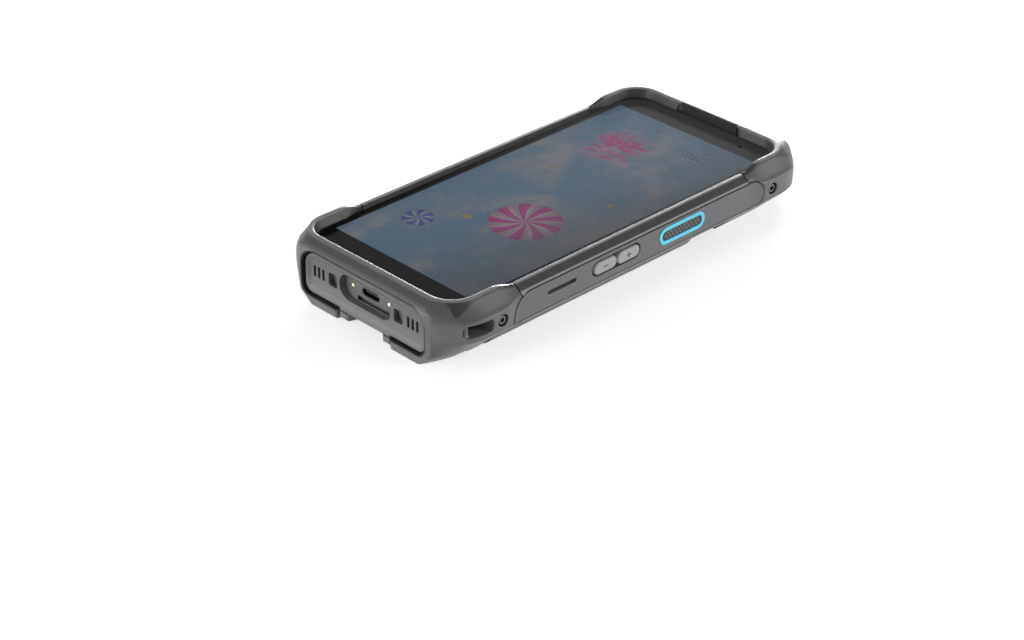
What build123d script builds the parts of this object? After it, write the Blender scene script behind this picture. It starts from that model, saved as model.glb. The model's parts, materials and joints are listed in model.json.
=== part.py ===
"""Rugged handheld barcode data terminal, in millimetres.

It lies on its back: +Z points out of the screen, +Y to the scan end, +X to its right side.
The origin is the middle of its footprint, on the surface it lies on.
"""

from build123d import *
import os

os.makedirs("parts", exist_ok=True)

# ---------------------------------------------------------------------------
# Driving dimensions: the screen and the margins round it set the rest
# ---------------------------------------------------------------------------

display_width = 70.4
display_length = 148.4
display_thickness = 1.75
display_y = -1.8  # middle of the panel
side_border = 2.4  # from the panel's side to the rail
end_margin = 17.1  # from the panel's end to the end of the terminal
rail_width = 4.9  # from the screen opening to the grip insert's face
cap_flare = 1.5  # the bumpers stand out beyond the inserts
body_height = 24.7  # back to the lip of the bumpers

# Clearances
seat_gap = 0.05  # between pieces that seat on each other
glass_gap = 0.15  # beside the front glass
cavity_gap = 0.2  # rear housing inside the bumpers
seam_gap = 0.3  # seam that shows as a dark line
run_gap = 0.3  # beside a moving piece
panel_gap = 0.4  # round the end panels
key_gap = 0.75  # round the volume keys
overcut = 1.0  # a cut's reach past the surface it opens

# Outer form, half widths
opening_half = display_width / 2 + side_border
waist_half = opening_half + rail_width
cap_half = waist_half + cap_flare
lip_x = opening_half + 1.2  # outer edge of the lip
back_half = waist_half - 10.0  # flat back
rim_x = back_half + 1.0  # end face
end_flat = rim_x - 2.5  # end opening
channel_x = opening_half + 2.0  # outer side of the channel between rail and battery

# Outer form, along the terminal
half_length = display_length / 2 + end_margin
parting_y = half_length - 33.9  # where rail and bumper meet
flare_y = parting_y + 9.6  # where the bumper has its full section
back_edge_y = half_length - 40.5  # inner edge of the scan-end bumper on the back

# Outer form, heights
rail_height = body_height - 2.2
side_top = body_height - 6.5  # upright side of the bumpers, upper edge
side_bottom = 10.9  # and its lower edge
rail_side_top = rail_height - 3.1  # the same edges along the rail
rail_side_bottom = 9.4
rail_bottom = 7.7  # underside of the rail
crease = 0.9  # softened edge beside the rail's upright side
cap_crease = 1.5  # and beside the bumper's
side_middle = (side_top + side_bottom) / 2

# Screen
glass_top = body_height - 4.2
glass_thickness = 1.2
opening_cap = opening_half - 1.5  # screen opening between the bumpers
opening_top = half_length - 9.6  # foot of the lip at the scan end
opening_bottom = half_length - 7.4  # foot of the lip at the connector end
opening_radius = 8.5
lip_lean = 1.1  # the lip's inner wall leans out by this much
lip_band = 1.4  # flat top of the lip
glass_tuck = 1.4  # glass hidden below the bumper's lip
notch_half = 13.5  # earpiece notch in the lip
notch_spread_x = 16.6
notch_depth = 2.1
notch_height = 3.4

# Inner stack
tray_top = glass_top - 3.1
tray_thickness = 1.2
board_top = tray_top - 2.0
board_thickness = 1.0
bay_roof = board_top - 4.2  # underside of the battery bay's roof
roof_thickness = 1.2
core_half = opening_half  # half width of the rear housing
core_end = half_length - 7.3  # its length from the middle at the scan end
core_end_bottom = half_length - 6.7  # and at the connector end
core_radius = 6.0  # plan corners of the cavity for it
wall = 1.3
skin = 2.5  # wall of the bumpers
floor_top = 4.4  # floor of the end compartments
compartment_half = core_half - 11.1
engine_bay_y = core_end - 27.5  # inner wall of the scan-end compartment
speaker_bay_y = 15.0 - core_end_bottom  # inner wall of the connector-end compartment

# Grip inserts
grip_thickness = 1.4
grip_low_y = -parting_y - 3.7
grip_high_y = parting_y + 6.6
grip_bottom = rail_side_bottom + 0.7
grip_top = rail_side_top + 0.3
grip_height = grip_top - grip_bottom
key_z = rail_side_top - 3.8  # height of the side keys

# Scan triggers
trigger_y = 21.2
trigger_gap = 0.2
ring_length = 23.4
ring_height = 6.6
ring_band = 1.35
ring_proud = 0.3
switch_gap = 0.6  # from a plunger to its switch

# Volume keys
volume_y = -12.1
well_length = 24.1
well_height = 6.1
key_proud = 0.5
slot_y = -38.6
slot_length = 13.8
slot_height = 1.6

# Ends
end_low = 3.9  # lower edge of the end openings
end_high_top = body_height - 4.2  # upper edge at the scan end
end_high_bottom = body_height - 3.4  # upper edge at the connector end
end_radius_high = 6.5
end_radius_low = 4.0
panel_recess = 1.3  # panel face behind the end face
panel_edge = 0.6  # bevel round the panel face
border = 0.9  # raised border of the panel inside its bevel
dish_depth = 0.7
dish_taper = 62.0

# Power key
power_x = end_flat - 9.2
power_z = end_low + 7.8
power_width = 8.4
power_height = 8.8

# Scan window
window_width = 28.0
window_low = end_low + 4.3
window_high = end_high_top - 3.5

# Connector end
pocket_half = 13.2
pocket_low = end_low + 4.8
pocket_high = end_high_bottom - 2.6
pocket_depth = 2.6
pocket_z = (pocket_low + pocket_high) / 2
usb_width = 8.34
usb_height = 2.56
usb_z = pocket_z - 0.2
charge_x = 9.16
charge_radius = 0.85
hole_x = end_flat - 14.5
grille_x = (end_flat - 9.55, end_flat - 7.3, end_flat - 5.1)
grille_z = pocket_z - 0.4

tab_top = end_low + panel_gap + 0.1  # top of the panel's tab in the cradle notch
cradle_out_x = 14.1  # half width of the cradle notch at the end face
cradle_in_x = 9.1  # and at its inner end
cradle_in_y = 11.3 - half_length

# Back
plate_half = back_half - 5.5
plate_low_y = back_edge_y + 2.1
plate_high_y = half_length - 15.8
plate_z = 1.0
plate_thickness = 1.3
plate_cut = 6.0  # cut corners of the camera plate
plate_radius = 2.5
battery_low_y = 23.9 - half_length
battery_high_y = back_edge_y + 1.4
battery_half = opening_half + 1.2
battery_face = 0.3
shoulder_radius = 7.8
shoulder_drop = 0.5  # the strip beside the quilt falls away by this much
quilt_half = battery_half - shoulder_radius - 2.4
battery_wall = 1.4

# Latch
trough_low_y = back_edge_y - 18.7
trough_floor = bay_roof - 2.7
latch_high_x = core_half - 1.1
latch_low_x = latch_high_x - 8.5
latch_low_y = trough_low_y + 2.6
latch_high_y = back_edge_y - 3.8
latch_top = trough_floor - 2.7

# Lanyard slot
lanyard_low_y = 8.1 - half_length
lanyard_high_y = 19.7 - half_length
lanyard_low_z = side_bottom + 1.6
lanyard_high_z = side_top - 1.1
lanyard_depth_x = cap_half - 7.7
lanyard_bar_x = cap_half - 4.0
lanyard_bar_y = lanyard_low_y + 1.8
lanyard_bar_radius = 1.2

# Fasteners
side_bore_radius = 2.25
side_seat_x = cap_half - 2.8
side_screw_places = ((23.9 - half_length, side_middle), (half_length - 22.3, side_middle))
rear_bore_radius = 2.2
rear_seat_z = 5.0
rear_screw_places = ((back_half - 1.2, half_length - 20.3), (back_half - 0.9, 15.7 - half_length))
screw_shank = 0.8
shank_length = 7.5
shank_sides = 8


# ---------------------------------------------------------------------------
# Shared forms
# ---------------------------------------------------------------------------


def between(start, end, share):
    """Value at a share of the way from start to end."""
    return start + (end - start) * share


def ease(share):
    """Smooth run from 0 to 1 that starts and ends level."""
    return share * share * (3 - 2 * share)


def finish(part, name):
    """Label a finished piece and write it to its own file."""
    part.label = name
    export_step(part, f"parts/{name}.step")


def cap_section(share):
    """Right half of a bumper's cross section, from lip to back, along its flare."""
    rise = ease(share)
    half = between(waist_half, cap_half, rise)
    upper = between(rail_side_top, side_top, rise)
    lower = between(rail_side_bottom, side_bottom, rise)
    soft = between(crease, cap_crease, rise)
    return [
        (lip_x, between(rail_height, body_height, rise)),
        (half - soft, upper + soft),
        (half, upper),
        (half, lower),
        (half - soft, lower - soft),
        (back_half, 0),
    ]


def full_section(points):
    """Close a right half outline with its mirror image."""
    return points + [(-x, z) for x, z in reversed(points)]


def slope_x(z):
    """Half width of a bumper on its slanted upper side at height z."""
    low = side_top + cap_crease
    return between(cap_half - cap_crease, lip_x, (z - low) / (body_height - low))


def under_x(z):
    """Half width of a bumper on its slanted lower side at height z."""
    return between(back_half, cap_half - cap_crease, z / (side_bottom - cap_crease))


def parting_under_x(z):
    """The same half width where the bumper meets the rail."""
    return between(back_half, waist_half - crease, z / (rail_side_bottom - crease))


def cap_levels(lip_end):
    """Plan outlines of a bumper's corner: height, side, corner start, rim, flat, end."""
    face = half_length
    ridge_low = body_height - 3.4
    ridge_high = body_height - 1.6
    return [
        (0, back_half, face - 21.3, (rim_x - 6.0, face - 1.1), end_flat - 4.5, face - 0.7),
        (4.5, under_x(4.5), face - 19.8, (rim_x - 0.3, face - 0.8), end_flat, face - 0.1),
        (side_bottom - cap_crease, cap_half - cap_crease, face - 17.8, (rim_x, face - 0.7), end_flat, face),
        (side_bottom, cap_half, face - 17.3, (rim_x, face - 0.7), end_flat, face),
        (side_top, cap_half, face - 17.3, (rim_x, face - 0.7), end_flat, face),
        (side_top + cap_crease, cap_half - cap_crease, face - 17.8, (rim_x, face - 0.7), end_flat, face),
        (ridge_low, slope_x(ridge_low), face - 18.3, (rim_x, face - 0.9), end_flat, face - 0.2),
        (ridge_high, slope_x(ridge_high), face - 18.3, (rim_x - 1.0, face - 2.7), end_flat - 0.5, face - 1.8),
        (body_height, lip_x, lip_end - 10.6, (rim_x - 5.2, lip_end), end_flat - 5.0, lip_end + 0.05),
    ]


def cap_form(lip_end, back_y):
    """Outer solid of the bumper at the +Y end, with its back reaching to back_y."""
    steps = 4
    with BuildPart() as form:
        for step in range(steps + 1):
            share = step / steps
            y = between(parting_y, flare_y, share)
            with BuildSketch(Plane.XZ.offset(-y)):
                with BuildLine():
                    Polyline(*full_section(cap_section(share)), close=True)
                make_face()
        loft(ruled=True)
        for z, side, corner, rim, flat, end in cap_levels(lip_end):
            with BuildSketch(Plane.XY.offset(z)):
                with BuildLine():
                    Line((-side, flare_y), (-side, corner))
                    TangentArc((-side, corner), (-rim[0], rim[1]), tangent=(0, 1))
                    Line((-rim[0], rim[1]), (-flat, end))
                    Line((-flat, end), (flat, end))
                    Line((flat, end), (rim[0], rim[1]))
                    TangentArc((side, corner), (rim[0], rim[1]), tangent=(0, 1))
                    Line((side, corner), (side, flare_y))
                    Line((side, flare_y), (-side, flare_y))
                make_face()
        loft(ruled=True)
        if back_y < parting_y:
            skirt_top = rail_bottom - seam_gap
            skirt = [(parting_under_x(skirt_top), skirt_top), (back_half, 0)]
            with BuildSketch(Plane.XZ.offset(-back_y)):
                with BuildLine():
                    Polyline(*full_section(skirt), close=True)
                make_face()
            extrude(amount=-(parting_y - back_y))
    return form.part


def inner_line(z, thickness):
    """Half width at height z of the slanted lower side, moved in by a wall."""
    run = (cap_half - cap_crease - back_half) / (side_bottom - cap_crease)
    return back_half + run * z - thickness * (1 + run * run) ** 0.5


def wall_knee(half, lean):
    """Height where the slanted inner face reaches the upright one at this half width."""
    run = (cap_half - cap_crease - back_half) / (side_bottom - cap_crease)
    return (half - inner_line(0, lean)) / run


def core_form(half, low_gap, y_from, y_to, corner, top):
    """Solid inside the bumpers: slanted lower sides, round corners in plan at y_to."""
    lean = skin + low_gap
    section = [(half, top), (half, wall_knee(half, lean)), (inner_line(lean, lean), lean)]
    with BuildPart() as form:
        with BuildSketch(Plane.XZ.offset(-y_from)):
            with BuildLine():
                Polyline(*full_section(section), close=True)
            make_face()
        extrude(amount=-(y_to - y_from))
        with BuildSketch(Plane.XY):
            with Locations((0, (y_from + y_to) / 2)):
                outline = Rectangle(2 * half, y_to - y_from)
            fillet(outline.vertices().group_by(Axis.Y)[-1], corner)
        extrude(amount=top, mode=Mode.INTERSECT)
    return form.part


def opening_form(foot_y):
    """Screen opening through the bumper's lip at the +Y end."""
    top = body_height + overcut
    grow = lip_lean * (top - glass_top) / (body_height - glass_top)
    start_y = parting_y - overcut
    with BuildPart() as form:
        for z, lean in ((glass_top, 0.0), (top, grow)):
            side = opening_cap + lean
            end = foot_y + lean
            radius = opening_radius + lean
            with BuildSketch(Plane.XY.offset(z)):
                with BuildLine():
                    Line((-opening_half, start_y), (-opening_half, parting_y))
                    Spline((-opening_half, parting_y), (-side, flare_y), tangents=((0, 1), (0, 1)))
                    Line((-side, flare_y), (-side, end - radius))
                    TangentArc((-side, end - radius), (-side + radius, end), tangent=(0, 1))
                    Line((-side + radius, end), (side - radius, end))
                    TangentArc((side - radius, end), (side, end - radius), tangent=(1, 0))
                    Line((side, end - radius), (side, flare_y))
                    Spline((side, flare_y), (opening_half, parting_y), tangents=((0, -1), (0, -1)))
                    Line((opening_half, parting_y), (opening_half, start_y))
                    Line((opening_half, start_y), (-opening_half, start_y))
                make_face()
        loft(ruled=True)
    return form.part


def end_outline(top, gap, y):
    """Sketch across the end at y: an end opening or, with a gap, the panel in it."""
    width = 2 * (end_flat - gap)
    height = top - end_low - 2 * gap
    with BuildSketch(Plane.XZ.offset(-y)) as outline:
        with Locations((0, (top + end_low) / 2)):
            Rectangle(width, height)
        fillet(outline.vertices().group_by(Axis.Y)[-1], end_radius_high - gap)
        fillet(outline.vertices().group_by(Axis.Y)[0], end_radius_low - gap)
    return outline.sketch


def cradle_plan(gap):
    """Plan outline of the cradle notch or, with a gap, of the tab that fills it."""
    spread = (cradle_out_x - cradle_in_x) / (half_length + cradle_in_y)
    out_y = -half_length - overcut
    in_y = cradle_in_y - gap
    out_x = cradle_out_x + spread * overcut - gap
    in_x = cradle_in_x + spread * gap - gap
    return [(-out_x, out_y), (out_x, out_y), (in_x, in_y), (-in_x, in_y)]


def grip_form(gap):
    """Right grip insert as a solid, grown by a gap for the seat it lies in."""
    reach = 2.0  # the seat is cut past the surface
    back_x = waist_half - 6.0
    outer = waist_half + (reach if gap else 0)
    inner = waist_half - grip_thickness - (seat_gap if gap else 0)
    with BuildPart() as form:
        with BuildSketch(Plane.YZ.offset(back_x)):
            low_y = grip_low_y - gap
            high_y = grip_high_y + gap
            with Locations(((low_y + high_y) / 2, (grip_bottom + grip_top) / 2)):
                Rectangle(high_y - low_y, grip_height + 2 * gap)
            fillet(vertices().group_by(Axis.X)[0].sort_by(Axis.Y)[-1], grip_height * 0.85)
            fillet(vertices().group_by(Axis.X)[-1].sort_by(Axis.Y)[-1], grip_height * 0.5)
            fillet(vertices().group_by(Axis.X)[-1].sort_by(Axis.Y)[0], grip_height * 0.44)
        extrude(amount=cap_half + reach - back_x)
        with BuildSketch(Plane.XY.offset(grip_bottom - overcut)):
            with BuildLine():
                Line((outer, -parting_y), (outer, parting_y))
                Spline((outer, parting_y), (outer + cap_flare, flare_y), tangents=((0, 1), (0, 1)))
                Line((outer + cap_flare, flare_y), (inner + cap_flare, flare_y))
                Spline((inner + cap_flare, flare_y), (inner, parting_y), tangents=((0, -1), (0, -1)))
                Line((inner, parting_y), (inner, -parting_y))
                Spline((inner, -parting_y), (inner + cap_flare, -flare_y), tangents=((0, -1), (0, -1)))
                Line((inner + cap_flare, -flare_y), (outer + cap_flare, -flare_y))
                Spline((outer + cap_flare, -flare_y), (outer, -parting_y), tangents=((0, 1), (0, 1)))
            make_face()
        extrude(amount=grip_height + 2 * overcut, mode=Mode.INTERSECT)
    return form.part


def side_slot(y, length, height, x_from, x_to):
    """Round-ended bar along the right side, used for keys, rings and wells."""
    with BuildPart() as form:
        with BuildSketch(Plane.YZ.offset(x_from)):
            with Locations((y, key_z)):
                SlotOverall(length, height)
        extrude(amount=x_to - x_from)
    return form.part


def shank_form(radius, length):
    """Eight-sided shank, or the hole for one, standing on the origin."""
    with BuildPart() as form:
        with BuildSketch(Plane.XY):
            RegularPolygon(radius, shank_sides)
        extrude(amount=length)
    return form.part


def screw(head_radius, head_height):
    """Socket head screw standing on the origin, head down, shank up."""
    with BuildPart() as form:
        Cylinder(head_radius, head_height, align=(Align.CENTER, Align.CENTER, Align.MIN))
        with BuildSketch(Plane.XY):
            RegularPolygon(head_radius * 0.55, 6)
        extrude(amount=head_height * 0.6, mode=Mode.SUBTRACT)
        with Locations((0, 0, head_height)):
            add(shank_form(screw_shank, shank_length))
    return form.part


def plate_plan(gap):
    """Plan sketch of the camera plate, or of the opening for it, with cut corners."""
    side = plate_half + gap
    far = plate_high_y + gap
    near = plate_low_y if gap == 0 else back_edge_y - overcut
    with BuildSketch(Plane.XY) as plan:
        with BuildLine():
            Polyline((-side, near), (side, near), (side, far - plate_cut), (side - plate_cut, far),
                     (plate_cut - side, far), (-side, far - plate_cut), close=True)
        make_face()
        fillet(vertices().group_by(Axis.Y)[-1], plate_radius)
        fillet(vertices().group_by(Axis.X)[0].sort_by(Axis.Y)[-1], plate_radius)
        fillet(vertices().group_by(Axis.X)[-1].sort_by(Axis.Y)[-1], plate_radius)
    return plan.sketch


grip_seat = grip_form(seam_gap)
left_grip_seat = mirror(grip_seat, about=Plane.YZ)
shank_hole = shank_form(screw_shank + 2 * seat_gap, shank_length + overcut)

# ---------------------------------------------------------------------------
# Bumpers
# ---------------------------------------------------------------------------

notch_deep_y = opening_top + notch_depth
lanyard_height = lanyard_high_z - lanyard_low_z
lanyard_corner = min(1.6, 0.45 * lanyard_height)  # a lower slot gets rounder ends
lanyard_middle = ((lanyard_low_y + lanyard_high_y) / 2, (lanyard_low_z + lanyard_high_z) / 2)

with BuildPart() as top_bumper:
    add(cap_form(opening_top + lip_lean + lip_band, back_edge_y))
    cavity_end = core_end + cavity_gap
    cavity_top = glass_top + seat_gap
    cavity = core_form(core_half + cavity_gap, 0, back_edge_y - overcut, cavity_end, core_radius, cavity_top)
    add(cavity, mode=Mode.SUBTRACT)
    add(opening_form(opening_top), mode=Mode.SUBTRACT)
    extrude(end_outline(end_high_top, 0, 0), amount=-half_length - overcut, mode=Mode.SUBTRACT)
    extrude(plate_plan(seam_gap), amount=bay_roof, mode=Mode.SUBTRACT)
    with BuildSketch(Plane.XY.offset(cavity_top)):
        with BuildLine():
            foot = opening_top - 0.5
            Polyline((-notch_spread_x, foot), (-notch_half, notch_deep_y), (notch_half, notch_deep_y),
                     (notch_spread_x, foot), close=True)
        make_face()
    extrude(amount=notch_height, mode=Mode.SUBTRACT)
    add(grip_seat, mode=Mode.SUBTRACT)
    add(left_grip_seat, mode=Mode.SUBTRACT)
    for side in (-1, 1):
        x, y = rear_screw_places[0]
        with Locations((side * x, y, 0)):
            Cylinder(rear_bore_radius, 2 * rear_seat_z, mode=Mode.SUBTRACT)
            add(shank_hole, mode=Mode.SUBTRACT)
        y, z = side_screw_places[1]
        with Locations(Location((side * cap_half, y, z), (0, -90 * side, 0))):
            Cylinder(side_bore_radius, 2 * (cap_half - side_seat_x), mode=Mode.SUBTRACT)
            add(shank_hole, mode=Mode.SUBTRACT)

with BuildPart() as bottom_bumper:
    add(mirror(cap_form(opening_bottom + lip_lean + lip_band, parting_y), about=Plane.XZ))
    cavity_end = core_end_bottom + 1.4
    cavity = core_form(core_half + cavity_gap, 0, parting_y - overcut, cavity_end, core_radius, cavity_top)
    add(mirror(cavity, about=Plane.XZ), mode=Mode.SUBTRACT)
    add(mirror(opening_form(opening_bottom), about=Plane.XZ), mode=Mode.SUBTRACT)
    extrude(end_outline(end_high_bottom, 0, 0), amount=half_length + overcut, mode=Mode.SUBTRACT)
    with Locations((0, battery_low_y - run_gap, 0)):
        Box(2 * (battery_half + run_gap), -battery_low_y, 2 * bay_roof,
            align=(Align.CENTER, Align.MIN, Align.CENTER), mode=Mode.SUBTRACT)
    with BuildSketch(Plane.XY.offset(-overcut)):
        with BuildLine():
            Polyline(*cradle_plan(0), close=True)
        make_face()
    extrude(amount=overcut + end_low + 0.5, mode=Mode.SUBTRACT)
    add(grip_seat, mode=Mode.SUBTRACT)
    add(left_grip_seat, mode=Mode.SUBTRACT)
    for side in (-1, 1):
        x, y = rear_screw_places[1]
        with Locations((side * x, y, 0)):
            Cylinder(rear_bore_radius, 2 * rear_seat_z, mode=Mode.SUBTRACT)
            add(shank_hole, mode=Mode.SUBTRACT)
        y, z = side_screw_places[0]
        with Locations(Location((side * cap_half, y, z), (0, -90 * side, 0))):
            Cylinder(side_bore_radius, 2 * (cap_half - side_seat_x), mode=Mode.SUBTRACT)
            add(shank_hole, mode=Mode.SUBTRACT)
    with BuildSketch(Plane.YZ.offset(lanyard_depth_x)):
        with Locations(lanyard_middle):
            RectangleRounded(lanyard_high_y - lanyard_low_y, lanyard_height, lanyard_corner)
    extrude(amount=cap_half, mode=Mode.SUBTRACT)
    with Locations((lanyard_bar_x, lanyard_bar_y, lanyard_low_z)):
        Cylinder(lanyard_bar_radius, lanyard_height, align=(Align.CENTER, Align.CENTER, Align.MIN))

finish(top_bumper.part, "top_bumper")
finish(bottom_bumper.part, "bottom_bumper")

# ---------------------------------------------------------------------------
# Frame and rear housing
# ---------------------------------------------------------------------------

rail_half_length = parting_y - seam_gap / 2
trigger_pocket_x = opening_half + 0.7
rail_points = [
    (opening_half, tray_top),
    (opening_half, rail_height),
    (lip_x, rail_height),
    (waist_half - crease, rail_side_top + crease),
    (waist_half, rail_side_top),
    (waist_half, rail_side_bottom),
    (waist_half - crease, rail_side_bottom - crease),
    (parting_under_x(rail_bottom), rail_bottom),
    (channel_x, rail_bottom),
    (channel_x, bay_roof),
    (core_half + cavity_gap, bay_roof),
    (core_half + cavity_gap, tray_top - tray_thickness),
]
glass_high_y = opening_top + glass_tuck
glass_low_y = -opening_bottom - glass_tuck
glass_half = opening_half - glass_gap
glass_middle_y = (glass_high_y + glass_low_y) / 2
glass_length = glass_high_y - glass_low_y
glass_back = glass_top - glass_thickness
tray_length = glass_length - 1.0
tray_rim = 2.1  # rim of the tray that carries the glass
well_inner_length = ring_length - 2 * ring_band
well_inner_height = ring_height - 2 * ring_band
volume_key_length = (well_length - 2 * key_gap - run_gap) / 2
volume_key_height = well_height - 2 * key_gap
volume_key_step = (volume_key_length + run_gap) / 2
latch_room = 6.0  # the rail is cut away over the latch by this much

with BuildPart() as mid_frame:
    with BuildSketch(Plane.XZ.offset(-rail_half_length)):
        with BuildLine():
            Polyline(*full_section(rail_points), close=True)
        make_face()
    extrude(amount=2 * rail_half_length)
    with BuildSketch(Plane.XY.offset(tray_top - tray_thickness)):
        with Locations((0, glass_middle_y)):
            RectangleRounded(2 * opening_half, tray_length, opening_radius)
    extrude(amount=tray_thickness)
    with BuildSketch(Plane.XY.offset(tray_top)):
        with Locations((0, glass_middle_y)):
            RectangleRounded(2 * opening_half, tray_length, opening_radius)
            RectangleRounded(2 * (opening_half - tray_rim), tray_length - 2 * tray_rim,
                             opening_radius - tray_rim, mode=Mode.SUBTRACT)
    extrude(amount=glass_back - seat_gap - tray_top)
    add(grip_seat, mode=Mode.SUBTRACT)
    add(left_grip_seat, mode=Mode.SUBTRACT)
    pocket = side_slot(trigger_y, well_inner_length, well_inner_height, trigger_pocket_x, waist_half)
    add(pocket, mode=Mode.SUBTRACT)
    add(mirror(pocket, about=Plane.YZ), mode=Mode.SUBTRACT)
    add(side_slot(volume_y, well_length, well_height, trigger_pocket_x, waist_half), mode=Mode.SUBTRACT)
    with Locations((waist_half - 1.1, trough_low_y, 0)):
        Box(latch_room, back_edge_y - trough_low_y, bay_roof + seat_gap,
            align=(Align.MAX, Align.MIN, Align.MIN), mode=Mode.SUBTRACT)

rear_top = tray_top - tray_thickness - seat_gap
housing_low_y = plate_low_y - 0.4
bay_low_y = battery_low_y - run_gap
board_low_y = bay_low_y + wall
board_high_y = engine_bay_y - 1.5
pad_z = plate_z + plate_thickness + seat_gap  # the pad behind the camera plate
pad_depth = 3.0
roof_top = bay_roof + roof_thickness
board_back = board_top - board_thickness
board_half = core_half - wall - run_gap
well_depth = rear_top  # reach of the cuts that open the housing upwards
trough_plan = [(core_half - 11.9, back_edge_y - seam_gap), (core_half - 15.05, back_edge_y - 4.0),
               (core_half - 15.05, trough_low_y + 4.0), (core_half - 11.45, trough_low_y + seam_gap),
               (core_half, trough_low_y + seam_gap), (core_half, back_edge_y - seam_gap)]
post_x = core_half - 4.1
post_low_y = board_low_y + 6.4
post_high_y = board_high_y - 5.0
post_rows = [between(post_low_y, post_high_y, row / 3) for row in range(4)]
post_width = 2.6
speaker_floor = 6.0
usb_bottom = usb_z - usb_height / 2 - 0.35
end_board_top = usb_bottom - seat_gap
end_board_thickness = 0.8
end_board_back = end_board_top - end_board_thickness
end_board_y = speaker_bay_y - 7.0
end_board_width = 23.0
end_board_length = 12.6
end_post_x = 9.5
contact_x = 0.3
contact_y = plate_low_y + 10.0
contact_block_width = 16.0
contact_block_length = 5.2
camera_place = (plate_half - 5.3, plate_high_y - 6.4)
camera_radius = 3.4
flash_place = (plate_half - 12.9, plate_high_y - 5.7)
flash_radius = 2.65
flash_band = 0.7
aux_square_place = (plate_half - 11.4, plate_low_y + 4.7)
aux_square = 5.0
aux_round_place = (plate_half - 4.8, plate_low_y + 4.5)
aux_round_radius = 2.3
spring_block_place = (-18.0, back_edge_y - 4.8)
spring_block_width = 11.6
spring_block_length = 3.6
end_wall_cut = 2 * wall + 1.0  # thickness of a block that opens an end wall

with BuildPart() as rear_housing:
    add(core_form(core_half, cavity_gap, housing_low_y, core_end, core_radius - cavity_gap, rear_top))
    low_end = core_form(core_half, cavity_gap, -bay_low_y, core_end_bottom, core_radius - cavity_gap, rear_top)
    add(mirror(low_end, about=Plane.XZ))
    with Locations((0, (housing_low_y + bay_low_y) / 2, bay_roof)):
        Box(2 * core_half, housing_low_y - bay_low_y, rear_top - bay_roof,
            align=(Align.CENTER, Align.CENTER, Align.MIN))
    with BuildSketch(Plane.XY.offset(trough_floor)):
        with BuildLine():
            Polyline(*trough_plan, close=True)
        make_face()
    extrude(amount=bay_roof - trough_floor)
    with Locations((0, housing_low_y, pad_z)):
        Box(2 * (plate_half - 4.5), plate_high_y - 2 - housing_low_y, pad_depth,
            align=(Align.CENTER, Align.MIN, Align.MIN))
    with Locations((0, (board_low_y + board_high_y) / 2, roof_top)):
        Box(2 * (core_half - wall), board_high_y - board_low_y, well_depth,
            align=(Align.CENTER, Align.CENTER, Align.MIN), mode=Mode.SUBTRACT)
    with Locations((0, engine_bay_y, floor_top)):
        Box(2 * compartment_half, core_end - wall - engine_bay_y, well_depth,
            align=(Align.CENTER, Align.MIN, Align.MIN), mode=Mode.SUBTRACT)
    with Locations((0, speaker_bay_y, speaker_floor)):
        Box(2 * compartment_half, core_end_bottom - wall + speaker_bay_y, well_depth,
            align=(Align.CENTER, Align.MAX, Align.MIN), mode=Mode.SUBTRACT)
    for y in post_rows:
        with Locations((-post_x, y, roof_top), (post_x, y, roof_top)):
            Box(post_width, post_width, board_back - seat_gap - roof_top,
                align=(Align.CENTER, Align.CENTER, Align.MIN))
    with Locations((-end_post_x, end_board_y, speaker_floor), (end_post_x, end_board_y, speaker_floor)):
        Box(post_width, post_width, end_board_back - seat_gap - speaker_floor,
            align=(Align.CENTER, Align.CENTER, Align.MIN))
    with Locations((0, core_end, window_low - 0.2)):
        Box(window_width - 2.8, end_wall_cut, well_depth, align=(Align.CENTER, Align.CENTER, Align.MIN),
            mode=Mode.SUBTRACT)
    with Locations((0, -core_end_bottom, end_board_back - run_gap)):
        Box(2 * charge_x + 3.5, end_wall_cut, well_depth, align=(Align.CENTER, Align.CENTER, Align.MIN),
            mode=Mode.SUBTRACT)
    for side in (-1, 1):
        with Locations((side * grille_x[1], -core_end_bottom, grille_z)):
            Box(5.4, end_wall_cut, 4.4, mode=Mode.SUBTRACT)
        for x, y in rear_screw_places:
            with Locations((side * x, y, 0)):
                Cylinder(rear_bore_radius, 2 * rear_seat_z, mode=Mode.SUBTRACT)
            with Locations((side * x, y, rear_seat_z)):
                add(shank_hole, mode=Mode.SUBTRACT)
        for y, z in side_screw_places:
            with Locations(Location((side * side_seat_x, y, z), (0, -90 * side, 0))):
                add(shank_hole, mode=Mode.SUBTRACT)
    with BuildSketch(Plane.XY.offset(pad_z - 1)):
        with Locations(camera_place):
            Rectangle(2 * camera_radius - 0.8, 2 * camera_radius - 0.8)
        with Locations(flash_place):
            Rectangle(2 * flash_radius - 1.6, 2 * flash_radius - 1.6)
        with Locations(aux_square_place):
            Rectangle(aux_square - 1, aux_square - 1)
        with Locations(aux_round_place):
            Rectangle(2 * aux_round_radius - 1, 2 * aux_round_radius - 1)
        with Locations((contact_x, contact_y)):
            Rectangle(contact_block_width + 2 * seat_gap, contact_block_length + 2 * seat_gap)
    extrude(amount=1 + pad_depth, mode=Mode.SUBTRACT)
    with Locations((0, cradle_in_y + run_gap, 0)):
        Box(2 * cradle_out_x + 0.4, half_length, tab_top + run_gap, align=(Align.CENTER, Align.MAX, Align.MIN),
            mode=Mode.SUBTRACT)
    with Locations((*spring_block_place, bay_roof)):
        Box(spring_block_width + 2 * seat_gap, spring_block_length + 2 * seat_gap, 2 * roof_thickness + overcut,
            mode=Mode.SUBTRACT)
    with Locations((lanyard_depth_x, *lanyard_middle)):
        Box(cap_half, lanyard_high_y - lanyard_low_y, lanyard_height,
            align=(Align.MIN, Align.CENTER, Align.CENTER), mode=Mode.SUBTRACT)

finish(mid_frame.part, "mid_frame")
finish(rear_housing.part, "rear_housing")

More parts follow.
